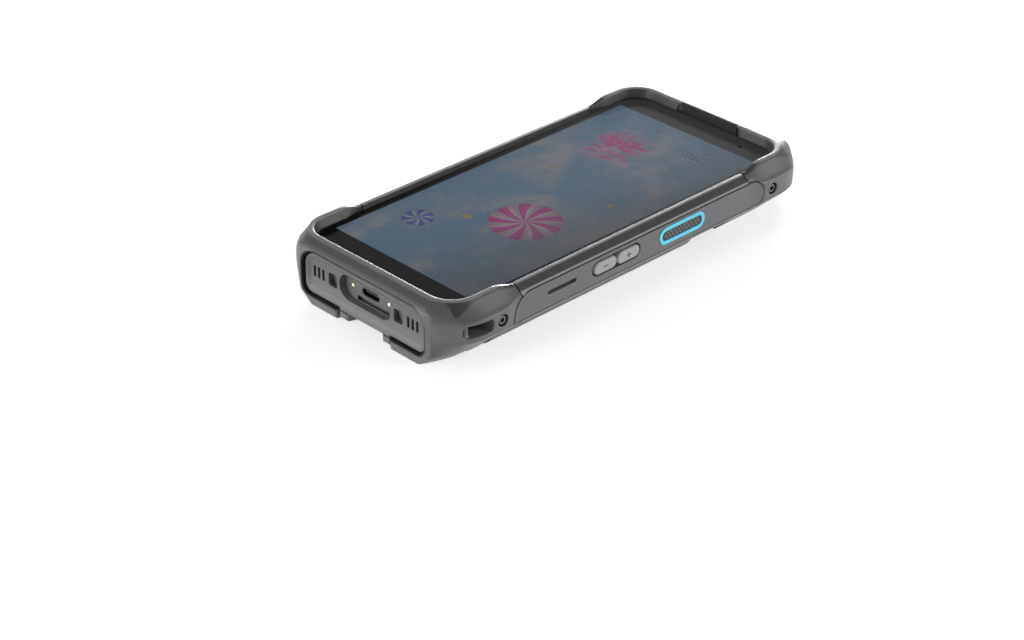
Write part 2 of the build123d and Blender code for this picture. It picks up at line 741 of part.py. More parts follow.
# ---------------------------------------------------------------------------
# Screen
# ---------------------------------------------------------------------------

stack_z = tray_top + seat_gap
stack_height = glass_back - seat_gap - stack_z
sensor_y = opening_top - 5.1
on_top = (Align.CENTER, Align.CENTER, Align.MIN)
camera_x = 20.8
camera_base = 4.4
camera_barrel = 1.7
sensor_x = -22.0
sensor_width = 8.0
sensor_length = 3.2
receiver_width = 12.0
receiver_length = 4.6

with BuildPart() as front_glass:
    with BuildSketch(Plane.XY.offset(glass_back)):
        with Locations((0, glass_middle_y)):
            RectangleRounded(2 * glass_half, glass_length, opening_radius + glass_tuck)
    extrude(amount=glass_thickness)

with BuildPart() as display_panel:
    with Locations((0, display_y, stack_z)):
        Box(display_width, display_length, display_thickness, align=on_top)

with BuildPart() as front_camera:
    with Locations((camera_x, sensor_y, stack_z)):
        Box(camera_base, camera_base, stack_height / 2, align=on_top)
        Cylinder(camera_barrel, stack_height, align=on_top)

with BuildPart() as proximity_sensor:
    with Locations((sensor_x, sensor_y, stack_z)):
        Box(sensor_width, sensor_length, stack_height, align=on_top)

with BuildPart() as earpiece_receiver:
    with Locations((0, sensor_y, stack_z)):
        Box(receiver_width, receiver_length, stack_height, align=on_top)

mesh_thickness = 0.6
with BuildPart() as earpiece_mesh:
    with Locations((0, notch_deep_y - seat_gap, cavity_top + seat_gap)):
        Box(2 * (notch_half - seat_gap), mesh_thickness, notch_height - 4 * seat_gap,
            align=(Align.CENTER, Align.MAX, Align.MIN))

finish(front_glass.part, "front_glass")
finish(display_panel.part, "display_panel")
finish(front_camera.part, "front_camera")
finish(proximity_sensor.part, "proximity_sensor")
finish(earpiece_receiver.part, "earpiece_receiver")
finish(earpiece_mesh.part, "earpiece_mesh")

# ---------------------------------------------------------------------------
# Side keys and grips
# ---------------------------------------------------------------------------

switch_x = trigger_pocket_x + 1.0
switch_width = 4.2
switch_height = 3.0
plunger_x = switch_x + switch_gap
plunger_height = 0.4
plunger_width = 1.8
key_back_x = plunger_x + plunger_height
key_bevel = 0.45
grip_seat_x = waist_half - grip_thickness
hole_x_from = grip_seat_x - overcut

with BuildPart() as right_grip_insert:
    add(grip_form(0))
    ring_hole = side_slot(trigger_y, ring_length + 2 * seat_gap, ring_height + 2 * seat_gap, hole_x_from,
                          cap_half)
    add(ring_hole, mode=Mode.SUBTRACT)
    add(side_slot(volume_y, well_length, well_height, hole_x_from, cap_half), mode=Mode.SUBTRACT)
    add(side_slot(slot_y, slot_length, slot_height, hole_x_from, cap_half), mode=Mode.SUBTRACT)

with BuildPart() as left_grip_insert:
    add(mirror(grip_form(0), about=Plane.YZ))
    add(mirror(ring_hole, about=Plane.YZ), mode=Mode.SUBTRACT)

with BuildPart() as right_trigger_ring:
    add(side_slot(trigger_y, ring_length, ring_height, grip_seat_x, waist_half + ring_proud))
    add(side_slot(trigger_y, well_inner_length, well_inner_height, grip_seat_x, waist_half + ring_proud),
        mode=Mode.SUBTRACT)

with BuildPart() as right_scan_trigger:
    add(side_slot(trigger_y, well_inner_length - 2 * trigger_gap, well_inner_height - 2 * trigger_gap,
                  key_back_x, waist_half))
    with Locations((key_back_x, trigger_y, key_z)):
        Box(plunger_height, plunger_width, plunger_width, align=(Align.MAX, Align.CENTER, Align.CENTER))

with BuildPart() as left_trigger_ring:
    add(mirror(right_trigger_ring.part, about=Plane.YZ))

with BuildPart() as left_scan_trigger:
    add(mirror(right_scan_trigger.part, about=Plane.YZ))


def volume_key(y):
    """One volume key with its plunger."""
    with BuildPart() as key:
        add(side_slot(y, volume_key_length, volume_key_height, key_back_x, waist_half + key_proud))
        chamfer(key.faces().sort_by(Axis.X)[-1].edges(), key_bevel)
        with Locations((key_back_x, y, key_z)):
            Box(plunger_height, plunger_width, plunger_width, align=(Align.MAX, Align.CENTER, Align.CENTER))
    return key.part


volume_up_key = volume_key(volume_y + volume_key_step)
volume_down_key = volume_key(volume_y - volume_key_step)

with BuildPart() as side_switches:
    places = [(1, trigger_y), (-1, trigger_y), (1, volume_y + volume_key_step), (1, volume_y - volume_key_step)]
    for side, y in places:
        with Locations((side * (trigger_pocket_x + switch_x) / 2, y, key_z)):
            Box(switch_x - trigger_pocket_x, switch_width, switch_height)

finish(right_grip_insert.part, "right_grip_insert")
finish(left_grip_insert.part, "left_grip_insert")
finish(right_trigger_ring.part, "right_trigger_ring")
finish(left_trigger_ring.part, "left_trigger_ring")
finish(right_scan_trigger.part, "right_scan_trigger")
finish(left_scan_trigger.part, "left_scan_trigger")
finish(volume_up_key, "volume_up_key")
finish(volume_down_key, "volume_down_key")
finish(side_switches.part, "side_switches")

# ---------------------------------------------------------------------------
# Scan end
# ---------------------------------------------------------------------------

panel_face = half_length - panel_recess
panel_floor = panel_face - dish_depth
top_panel_back = core_end + cavity_gap + seat_gap
window_z = (window_low + window_high) / 2
window_height = window_high - window_low
window_radius = 2.6
funnel_depth = 2.4
funnel_inset = 2.0  # each side of the window narrows by this much
funnel_taper = 39.8
pane_width = window_width - 2.8
pane_height = window_height - 2.8
pane_thickness = 1.2
pane_back = top_panel_back + 0.1
switch_thickness = 1.2
power_back = core_end + seat_gap + switch_thickness + switch_gap
foot_hole_x = 13.7
foot_hole_z = end_low + 1.9

with BuildPart() as top_end_panel:
    extrude(end_outline(end_high_top, panel_gap, top_panel_back), amount=top_panel_back - panel_face)
    chamfer(faces().sort_by(Axis.Y)[-1].edges(), panel_edge)
    extrude(end_outline(end_high_top, panel_gap + panel_edge + border, panel_face), amount=dish_depth,
            taper=dish_taper, mode=Mode.SUBTRACT)
    with BuildSketch(Plane.XZ.offset(-panel_floor)):
        with Locations((0, window_z)):
            RectangleRounded(window_width, window_height, window_radius)
    extrude(amount=funnel_depth, taper=funnel_taper, mode=Mode.SUBTRACT)
    with BuildSketch(Plane.XZ.offset(-top_panel_back)):
        with Locations((0, window_z)):
            Rectangle(window_width - 2 * funnel_inset, window_height - 2 * funnel_inset)
    extrude(amount=top_panel_back - panel_floor, mode=Mode.SUBTRACT)
    with BuildSketch(Plane.XZ.offset(-top_panel_back)):
        with Locations((0, window_z)):
            Rectangle(pane_width + 2 * seat_gap, pane_height + 2 * seat_gap)
    extrude(amount=-(pane_thickness + 0.15), mode=Mode.SUBTRACT)
    with BuildSketch(Plane.XZ.offset(-top_panel_back)):
        with Locations((power_x, power_z)):
            RectangleRounded(power_width + 2 * run_gap, power_height + 2 * run_gap, 3.2)
    extrude(amount=top_panel_back - half_length, mode=Mode.SUBTRACT)
    with BuildSketch(Plane.XZ.offset(-panel_face)):
        with Locations((-foot_hole_x, foot_hole_z), (foot_hole_x, foot_hole_z)):
            Rectangle(4.2, 2.0)
        with Locations((foot_hole_x + 1.7, window_high + 1.3)):
            RegularPolygon(0.5, 8)
    extrude(amount=2.2, mode=Mode.SUBTRACT)

with BuildPart() as scan_window:
    with BuildSketch(Plane.XZ.offset(-pane_back)):
        with Locations((0, window_z)):
            Rectangle(pane_width, pane_height)
    extrude(amount=-pane_thickness)

with BuildPart() as power_key:
    with BuildSketch(Plane.XZ.offset(-power_back - plunger_height)):
        with Locations((power_x, power_z)):
            RectangleRounded(power_width, power_height, 2.9)
    extrude(amount=power_back + plunger_height - panel_face - key_proud)
    chamfer(faces().sort_by(Axis.Y)[-1].edges(), key_bevel)
    with Locations((power_x, power_back, power_z)):
        Box(plunger_width, plunger_height, plunger_width, align=(Align.CENTER, Align.MIN, Align.CENTER))

with BuildPart() as power_switch:
    with Locations((power_x, core_end + seat_gap, power_z)):
        Box(4.6, switch_thickness, 4.0, align=(Align.CENTER, Align.MIN, Align.CENTER))

engine_width = 21.0
engine_length = 12.2
engine_low = window_low + 0.4
engine_high = rear_top
engine_face = core_end - wall - run_gap
engine_middle_y = engine_face - engine_length / 2
lens_depth = 1.1
scan_lens_x = -3.6
scan_lens_radius = 2.4
aimer_x = 5.2
aimer_radius = 1.5

with BuildPart() as scan_engine:
    with Locations((0, engine_middle_y, engine_low)):
        Box(engine_width, engine_length, engine_high - engine_low, align=on_top)
    chamfer(edges().filter_by(Axis.Z), 0.6)

with BuildPart() as engine_bracket:
    with Locations((0, engine_middle_y, floor_top)):
        Box(engine_width + 4, engine_length, engine_low - seat_gap - floor_top, align=on_top)
        Box(engine_width - 4, engine_length + overcut, engine_low - seat_gap - 1.2 - floor_top, align=on_top,
            mode=Mode.SUBTRACT)

with BuildPart() as scan_lens:
    with Locations(Location((scan_lens_x, engine_face, window_z), (-90, 0, 0))):
        Cylinder(scan_lens_radius, lens_depth, align=on_top)

with BuildPart() as aimer_lens:
    with Locations(Location((aimer_x, engine_face, window_z), (-90, 0, 0))):
        Cylinder(aimer_radius, lens_depth, align=on_top)

finish(top_end_panel.part, "top_end_panel")
finish(scan_window.part, "scan_window")
finish(power_key.part, "power_key")
finish(power_switch.part, "power_switch")
finish(scan_engine.part, "scan_engine")
finish(engine_bracket.part, "engine_bracket")
finish(scan_lens.part, "scan_lens")
finish(aimer_lens.part, "aimer_lens")

# ---------------------------------------------------------------------------
# Connector end
# ---------------------------------------------------------------------------

bottom_panel_back = core_end_bottom + cavity_gap
pocket_floor = panel_floor - pocket_depth
step_y = -glass_low_y + 0.8
shell_wall = 0.3
shell_face = pocket_floor - seat_gap
shell_depth = 7.4
shell_end = 0.4
tongue_width = 6.6
tongue_height = 0.7
pin_length = 4.2
pin_proud = 0.3
foot_bottom = 0.6
foot_gap_half = 9.4  # half width between the panel's two feet
speaker_width = 11.0
speaker_length = 9.8
speaker_height = 8.8
motor_radius = 4.0
compartment_end_y = wall - core_end_bottom

with BuildPart() as bottom_end_panel:
    extrude(end_outline(end_high_bottom, panel_gap, -panel_face), amount=bottom_panel_back - panel_face)
    with BuildSketch(Plane.XY.offset(foot_bottom)):
        with BuildLine():
            Polyline(*cradle_plan(panel_gap), close=True)
        make_face()
        with Locations((0, -panel_face)):
            Rectangle(4 * cradle_out_x, half_length, align=(Align.CENTER, Align.MAX), mode=Mode.SUBTRACT)
    extrude(amount=tab_top - foot_bottom)
    with BuildSketch(Plane.XY):
        with BuildLine():
            Polyline((-foot_gap_half, -half_length), (foot_gap_half, -half_length),
                     (foot_gap_half - 3, cradle_in_y - 2.4), (3 - foot_gap_half, cradle_in_y - 2.4), close=True)
        make_face()
    extrude(amount=end_low - 0.5, mode=Mode.SUBTRACT)
    chamfer(faces().sort_by(Axis.Y)[0].outer_wire().edges(), panel_edge)
    extrude(end_outline(end_high_bottom, panel_gap + panel_edge + border, -panel_face), amount=-dish_depth,
            taper=dish_taper, mode=Mode.SUBTRACT)
    with Locations((0, -step_y, tray_top - tray_thickness - run_gap)):
        Box(2 * core_half, step_y, body_height, align=(Align.CENTER, Align.MIN, Align.MIN), mode=Mode.SUBTRACT)
    with BuildSketch(Plane.XZ.offset(panel_floor)):
        with Locations((0, pocket_z)):
            SlotOverall(2 * pocket_half, pocket_high - pocket_low)
    extrude(amount=-pocket_depth, mode=Mode.SUBTRACT)
    with BuildSketch(Plane.XZ.offset(pocket_floor)):
        with Locations((1.2, pocket_low + 1.2)):
            Rectangle(16.0, 1.8)
    extrude(amount=-1.4, mode=Mode.SUBTRACT)
    with BuildSketch(Plane.XZ.offset(panel_floor)):
        with Locations((-hole_x, grille_z), (hole_x, grille_z)):
            square = Rectangle(4.3, 5.0)
            chamfer(square.vertices(), 0.6)
        with Locations((hole_x, pocket_high)):
            RegularPolygon(0.5, 8)
    extrude(amount=-2.0, mode=Mode.SUBTRACT)
    with BuildSketch(Plane.XZ.offset(panel_floor)):
        with Locations(*[(side * x, grille_z) for side in (-1, 1) for x in grille_x]):
            slits = Rectangle(1.1, 4.3)
            chamfer(slits.vertices(), 0.3)
        with Locations((0, usb_z)):
            SlotOverall(usb_width + 2 * shell_wall + 2 * seat_gap, usb_height + 2 * shell_wall + 2 * seat_gap)
        with Locations((-charge_x, usb_z), (charge_x, usb_z)):
            RegularPolygon(charge_radius + 2 * seat_gap, 12)
    extrude(amount=bottom_panel_back - half_length, mode=Mode.SUBTRACT)

with BuildPart() as usb_shell:
    with BuildSketch(Plane.XZ.offset(shell_face)):
        with Locations((0, usb_z)):
            SlotOverall(usb_width + 2 * shell_wall, usb_height + 2 * shell_wall)
            SlotOverall(usb_width, usb_height, mode=Mode.SUBTRACT)
    extrude(amount=-shell_depth)
    with BuildSketch(Plane.XZ.offset(shell_face - shell_depth)):
        with Locations((0, usb_z)):
            SlotOverall(usb_width + 2 * shell_wall, usb_height + 2 * shell_wall)
    extrude(amount=-shell_end)

with BuildPart() as usb_tongue:
    with Locations((0, shell_depth - shell_face, usb_z)):
        Box(tongue_width, shell_depth - 0.8, tongue_height, align=(Align.CENTER, Align.MAX, Align.CENTER))

with BuildPart() as charge_pins:
    for side in (-1, 1):
        with BuildSketch(Plane.XZ.offset(pocket_floor + pin_proud)):
            with Locations((side * charge_x, usb_z)):
                RegularPolygon(charge_radius, 12)
        extrude(amount=-pin_length)

with BuildPart() as end_board:
    with Locations((0, end_board_y, end_board_back)):
        Box(end_board_width, end_board_length, end_board_thickness, align=on_top)

with BuildPart() as loudspeaker:
    with Locations((compartment_half - 0.7, compartment_end_y + 0.3, speaker_floor)):
        Box(speaker_width, speaker_length, speaker_height, align=(Align.MAX, Align.MIN, Align.MIN))
    chamfer(edges().filter_by(Axis.Z), 0.8)

with BuildPart() as vibration_motor:
    with Locations((motor_radius + 2.2 - compartment_half, end_board_y, speaker_floor)):
        Cylinder(motor_radius, 2.7, align=on_top)

with BuildPart() as microphone:
    with Locations((hole_x, 0.1 - step_y - seat_gap, tray_top + 0.6)):
        Box(3.4, 0.7, 2.0, align=(Align.CENTER, Align.MIN, Align.CENTER))

finish(bottom_end_panel.part, "bottom_end_panel")
finish(usb_shell.part, "usb_shell")
finish(usb_tongue.part, "usb_tongue")
finish(charge_pins.part, "charge_pins")
finish(end_board.part, "end_board")
finish(loudspeaker.part, "loudspeaker")
finish(vibration_motor.part, "vibration_motor")
finish(microphone.part, "microphone")

# ---------------------------------------------------------------------------
# Back: camera plate
# ---------------------------------------------------------------------------

finger_y = plate_low_y + 4.8  # room for a fingertip at the battery's edge

with BuildPart() as camera_plate:
    with BuildSketch(Plane.XY.offset(plate_z)):
        add(plate_plan(0))
        with BuildLine():
            Polyline((-11.0, plate_low_y - 1), (11.6, plate_low_y - 1), (8.6, finger_y), (-8.0, finger_y),
                     close=True)
        make_face(mode=Mode.SUBTRACT)
        with Locations(camera_place):
            Circle(camera_radius + seat_gap, mode=Mode.SUBTRACT)
        with Locations(flash_place):
            Circle(flash_radius + seat_gap, mode=Mode.SUBTRACT)
        with Locations(aux_square_place):
            Rectangle(aux_square + 2 * seat_gap, aux_square + 2 * seat_gap, mode=Mode.SUBTRACT)
        with Locations(aux_round_place):
            Circle(aux_round_radius + seat_gap, mode=Mode.SUBTRACT)
        with Locations((contact_x, contact_y)):
            Rectangle(contact_block_width + 2 * seat_gap, contact_block_length + 2 * seat_gap,
                      mode=Mode.SUBTRACT)
    extrude(amount=plate_thickness)

lens_z = plate_z + seat_gap
lens_thickness = plate_thickness - seat_gap

with BuildPart() as camera_lens:
    with Locations((*camera_place, lens_z)):
        Cylinder(camera_radius, lens_thickness, align=on_top)

with BuildPart() as camera_module:
    with Locations((*camera_place, floor_top + seat_gap)):
        Box(8.4, 8.4, 4.6, align=on_top)
    with Locations((*camera_place, pad_z + seat_gap)):
        Box(2 * camera_radius - 1.4, 2 * camera_radius - 1.4, pad_depth, align=on_top)

with BuildPart() as flash_ring:
    with Locations((*flash_place, plate_z - 0.1)):
        Cylinder(flash_radius, plate_thickness + 0.1, align=on_top)
        Cylinder(flash_radius - flash_band, plate_thickness + 0.1, align=on_top, mode=Mode.SUBTRACT)

with BuildPart() as flash_lens:
    with Locations((*flash_place, plate_z + 0.2)):
        Cylinder(flash_radius - flash_band - seat_gap, plate_thickness - 0.2, align=on_top)

with BuildPart() as auxiliary_lenses:
    with BuildSketch(Plane.XY.offset(lens_z)):
        with Locations(aux_square_place):
            Rectangle(aux_square, aux_square)
        with Locations(aux_round_place):
            Circle(aux_round_radius)
    extrude(amount=lens_thickness)

contact_face = plate_z + 0.6
pad_proud = 0.25
with BuildPart() as contact_block:
    with Locations((contact_x, contact_y, contact_face)):
        Box(contact_block_width, contact_block_length, floor_top + 0.8 - contact_face, align=on_top)

with BuildPart() as rear_contacts:
    with BuildSketch(Plane.XY.offset(contact_face - pad_proud)):
        with Locations((contact_x, contact_y)):
            with GridLocations(2.54, 2.4, 4, 2):
                RegularPolygon(0.95, 12)
    extrude(amount=pad_proud)

finish(camera_plate.part, "camera_plate")
finish(camera_lens.part, "camera_lens")
finish(camera_module.part, "camera_module")
finish(flash_ring.part, "flash_ring")
finish(flash_lens.part, "flash_lens")
finish(auxiliary_lenses.part, "auxiliary_lenses")
finish(contact_block.part, "contact_block")
finish(rear_contacts.part, "rear_contacts")

# ---------------------------------------------------------------------------
# Battery pack and latch
# ---------------------------------------------------------------------------

battery_top = bay_roof - run_gap
battery_length = battery_high_y - battery_low_y
cavity_half = battery_half - shoulder_radius + 1.8
cavity_floor = battery_face + 2.3
cavity_low_y = battery_low_y + battery_wall
cavity_side_x = core_half - 18.6  # the cavity's side beside the latch notch
notch_low_y = trough_low_y - 0.2
cavity_end_y = notch_low_y - 2.6  # the cavity's end before the latch notch
base_thickness = 1.2
far_x = battery_half + overcut
far_y = battery_high_y + overcut
cover_notch = [(core_half - 10.1, far_y), (core_half - 15.4, back_edge_y - 3.8),
               (core_half - 15.4, trough_low_y + 3.9), (core_half - 11.6, notch_low_y),
               (far_x, notch_low_y), (far_x, far_y)]
notch_spread = [(core_half - 13.0, far_y), (core_half - 17.7, back_edge_y - 3.0),
                (core_half - 17.7, trough_low_y + 2.9), (core_half - 12.7, notch_low_y - 2.5),
                (far_x, notch_low_y - 2.5), (far_x, far_y)]
notch_roof = 6.2  # the notch's walls lean out below this height
quilt_step_x = 13.5
quilt_step_y = 14.35
quilt_vertex_y = battery_low_y + 22.7
quilt_depth = 0.5
tongue_low_z = trough_floor - 2.0
tongue_thickness = 1.2
tongue_low_x = latch_low_x + 1.2
tongue_high_x = latch_high_x - 2.5
tongue_tip_y = trough_low_y + 0.3
fingernail_y = back_edge_y - 7.8


def shoulder_section():
    """Cross section of the battery cover, back face down."""
    with BuildSketch(Plane.XZ.offset(-battery_low_y)) as section:
        with BuildLine():
            flat = battery_half - shoulder_radius
            knee = battery_face + shoulder_drop
            spring = knee + shoulder_radius
            Polyline((-flat, knee), (-quilt_half, battery_face), (quilt_half, battery_face), (flat, knee))
            RadiusArc((flat, knee), (battery_half, spring), -shoulder_radius)
            Polyline((battery_half, spring), (battery_half, battery_top), (-battery_half, battery_top),
                     (-battery_half, spring))
            RadiusArc((-battery_half, spring), (-flat, knee), -shoulder_radius)
        make_face()
    return section.sketch


with BuildPart() as quilt:
    for row in range(-2, 8):
        for column in range(-2, 3):
            if (row + column) % 2:
                x = column * quilt_step_x
                y = quilt_vertex_y + row * quilt_step_y
                lean = quilt_depth / (2 * quilt_step_y)
                facet = Plane((x, y, battery_face + quilt_depth / 2), (1, 0, 0), (lean / 2, -lean, 1))
                with BuildSketch(facet):
                    with BuildLine():
                        Polyline((0, -quilt_step_y), (quilt_step_x, 0), (0, quilt_step_y), (-quilt_step_x, 0),
                                 close=True)
                    make_face()
                extrude(amount=-1)
    with Locations((0, battery_low_y + 2)):
        Box(2 * quilt_half - 0.4, battery_length - 4.5, 4, align=(Align.CENTER, Align.MIN, Align.CENTER),
            mode=Mode.INTERSECT)

with BuildPart() as battery_cover:
    extrude(shoulder_section(), amount=-battery_length)
    add(quilt.part, mode=Mode.SUBTRACT)
    for side in (-1, 1):
        with Locations((side * (plate_half + cavity_gap - seat_gap), back_edge_y - run_gap, 0)):
            Box(battery_half, battery_length, 2 * bay_roof, mode=Mode.SUBTRACT,
                align=(Align.MIN if side > 0 else Align.MAX, Align.MIN, Align.CENTER))
    with Locations((0, cavity_low_y, cavity_floor)):
        Box(2 * cavity_half, cavity_end_y - cavity_low_y, bay_roof, align=(Align.CENTER, Align.MIN, Align.MIN),
            mode=Mode.SUBTRACT)
    with Locations((-cavity_half, 0, cavity_floor)):
        Box(cavity_half + cavity_side_x, battery_high_y - battery_wall, bay_roof,
            align=(Align.MIN, Align.MIN, Align.MIN), mode=Mode.SUBTRACT)
    with BuildSketch(Plane.XY):
        with BuildLine():
            Polyline(*cover_notch, close=True)
        make_face()
    extrude(amount=bay_roof, mode=Mode.SUBTRACT)
    with BuildSketch(Plane.XY.offset(notch_roof)):
        with BuildLine():
            Polyline(*cover_notch, close=True)
        make_face()
    with BuildSketch(Plane.XY.offset(-0.4)):
        with BuildLine():
            Polyline(*notch_spread, close=True)
        make_face()
    loft(ruled=True, mode=Mode.SUBTRACT)
    with Locations((tongue_low_x - run_gap, notch_low_y + overcut, tongue_low_z - run_gap)):
        Box(tongue_high_x - tongue_low_x + 2 * run_gap, overcut + 2.4, tongue_thickness + 2 * run_gap,
            align=(Align.MIN, Align.MAX, Align.MIN), mode=Mode.SUBTRACT)
    with BuildSketch(Plane.YZ.offset(-8.0)):
        with BuildLine():
            Polyline((fingernail_y, battery_face - 1), (fingernail_y, battery_face + 0.4),
                     (fingernail_y + 8, battery_face + 1.5), (fingernail_y + 8, battery_face - 1), close=True)
        make_face()
    extrude(amount=20.0, mode=Mode.SUBTRACT)

with BuildPart() as battery_base:
    with Locations((0, cavity_low_y + seat_gap, battery_top - base_thickness)):
        Box(2 * (cavity_half - seat_gap), cavity_end_y - cavity_low_y - 2 * seat_gap, base_thickness,
            align=(Align.CENTER, Align.MIN, Align.MIN))
    with Locations((seat_gap - cavity_half, 0, battery_top - base_thickness)):
        Box(cavity_half + cavity_side_x - 2 * seat_gap, battery_high_y - battery_wall - seat_gap,
            base_thickness, align=(Align.MIN, Align.MIN, Align.MIN))

cell_height = battery_top - base_thickness - cavity_floor - 4 * seat_gap
cell_margin = 0.3
with BuildPart() as battery_cells:
    for side in (-1, 1):
        with Locations((side * cavity_half / 2, cavity_low_y + cell_margin, cavity_floor + seat_gap)):
            Box(cavity_half - 2 * cell_margin, cavity_end_y - cavity_low_y - 2 * cell_margin, cell_height,
                align=(Align.CENTER, Align.MIN, Align.MIN))

pad_pitch = 2.8
with BuildPart() as battery_pads:
    with Locations((*spring_block_place, battery_top)):
        with GridLocations(pad_pitch, 1, 4, 1):
            Box(1.8, 3.0, 0.1, align=on_top)

with BuildPart() as battery_contacts:
    with Locations((*spring_block_place, bay_roof)):
        Box(spring_block_width, spring_block_length, board_back - seat_gap - bay_roof, align=on_top)

with BuildPart() as battery_latch:
    with Locations((latch_low_x, latch_low_y, latch_top)):
        Box(latch_high_x - latch_low_x, latch_high_y - latch_low_y, trough_floor - seat_gap - latch_top,
            align=(Align.MIN, Align.MIN, Align.MIN))
    chamfer(faces().sort_by(Axis.Z)[0].edges(), 0.4)
    with Locations((tongue_low_x, tongue_tip_y, tongue_low_z)):
        Box(tongue_high_x - tongue_low_x, latch_low_y - tongue_tip_y + 1, tongue_thickness,
            align=(Align.MIN, Align.MIN, Align.MIN))

finish(battery_cover.part, "battery_cover")
finish(battery_base.part, "battery_base")
finish(battery_cells.part, "battery_cells")
finish(battery_pads.part, "battery_pads")
finish(battery_contacts.part, "battery_contacts")
finish(battery_latch.part, "battery_latch")

# ---------------------------------------------------------------------------
# Boards and fasteners
# ---------------------------------------------------------------------------

under_board = (Align.CENTER, Align.CENTER, Align.MAX)

with BuildPart() as main_board:
    with Locations((0, (board_low_y + board_high_y) / 2, board_back)):
        Box(2 * board_half, board_high_y - board_low_y - 2 * run_gap, board_thickness, align=on_top)

with BuildPart() as shield_cans:
    for x, y, width, length in ((-14, -6, 26, 30), (16, -6, 24, 24), (8, 26, 30, 22)):
        with Locations((x, y, board_back - seat_gap)):
            Box(width, length, 1.5, align=under_board)

with BuildPart() as card_holder:
    with Locations((-22, 25, board_back - seat_gap)):
        Box(15, 16, 1.4, align=under_board)

rear_head_height = 1.7
with BuildPart() as rear_screws:
    for side in (-1, 1):
        for x, y in rear_screw_places:
            with Locations((side * x, y, rear_seat_z - rear_head_height)):
                add(screw(rear_bore_radius - 0.2, rear_head_height))

side_head_height = 2.2
with BuildPart() as side_screws:
    for side in (-1, 1):
        for y, z in side_screw_places:
            with Locations(Location((side * (side_seat_x + side_head_height), y, z), (0, -90 * side, 0))):
                add(screw(side_bore_radius - 0.65, side_head_height))

finish(main_board.part, "main_board")
finish(shield_cans.part, "shield_cans")
finish(card_holder.part, "card_holder")
finish(rear_screws.part, "rear_screws")
finish(side_screws.part, "side_screws")
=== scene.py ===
"""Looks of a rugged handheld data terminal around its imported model.

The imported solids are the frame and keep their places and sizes. Casing, Screen, Keys, Ends and
Back dress one sub-assembly each: they soften the skins that show, give every surface its finish
and add the small marks and textures. The terminal lies on its back, with its screen up and its
scan end at +Y. Lengths are in metres, and in millimetres where a name ends in _mm or a docstring
says so.
"""

import json
import logging
import math
from dataclasses import dataclass
from enum import Enum

import bmesh
import bpy
from mathutils import Matrix, Vector


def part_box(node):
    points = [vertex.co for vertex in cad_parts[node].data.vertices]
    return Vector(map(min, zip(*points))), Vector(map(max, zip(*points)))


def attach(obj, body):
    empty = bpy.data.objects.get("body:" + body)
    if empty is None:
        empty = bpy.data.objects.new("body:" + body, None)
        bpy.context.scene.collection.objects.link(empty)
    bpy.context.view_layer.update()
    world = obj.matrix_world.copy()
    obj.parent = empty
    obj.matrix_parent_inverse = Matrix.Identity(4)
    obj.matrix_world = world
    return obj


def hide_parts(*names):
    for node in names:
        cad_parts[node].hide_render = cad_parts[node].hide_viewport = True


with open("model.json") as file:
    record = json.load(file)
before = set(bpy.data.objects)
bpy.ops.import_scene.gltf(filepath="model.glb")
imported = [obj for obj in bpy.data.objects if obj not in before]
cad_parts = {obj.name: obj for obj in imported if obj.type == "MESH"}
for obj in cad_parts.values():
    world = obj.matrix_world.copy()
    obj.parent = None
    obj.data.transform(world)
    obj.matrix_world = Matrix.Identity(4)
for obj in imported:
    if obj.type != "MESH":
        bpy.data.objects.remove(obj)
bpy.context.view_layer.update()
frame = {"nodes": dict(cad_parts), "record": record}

MM = 0.001
MERGE_DISTANCE = 0.002 * MM
log = logging.getLogger("terminal")

Colour = tuple[float, float, float]
Point = tuple[float, float, float]
Span = tuple[float, float]
Socket = bpy.types.NodeSocket
Node = bpy.types.Node
Material = bpy.types.Material
Piece = bpy.types.Object


# --------------------------------------------------------------------------------------------
# Node trees
# --------------------------------------------------------------------------------------------


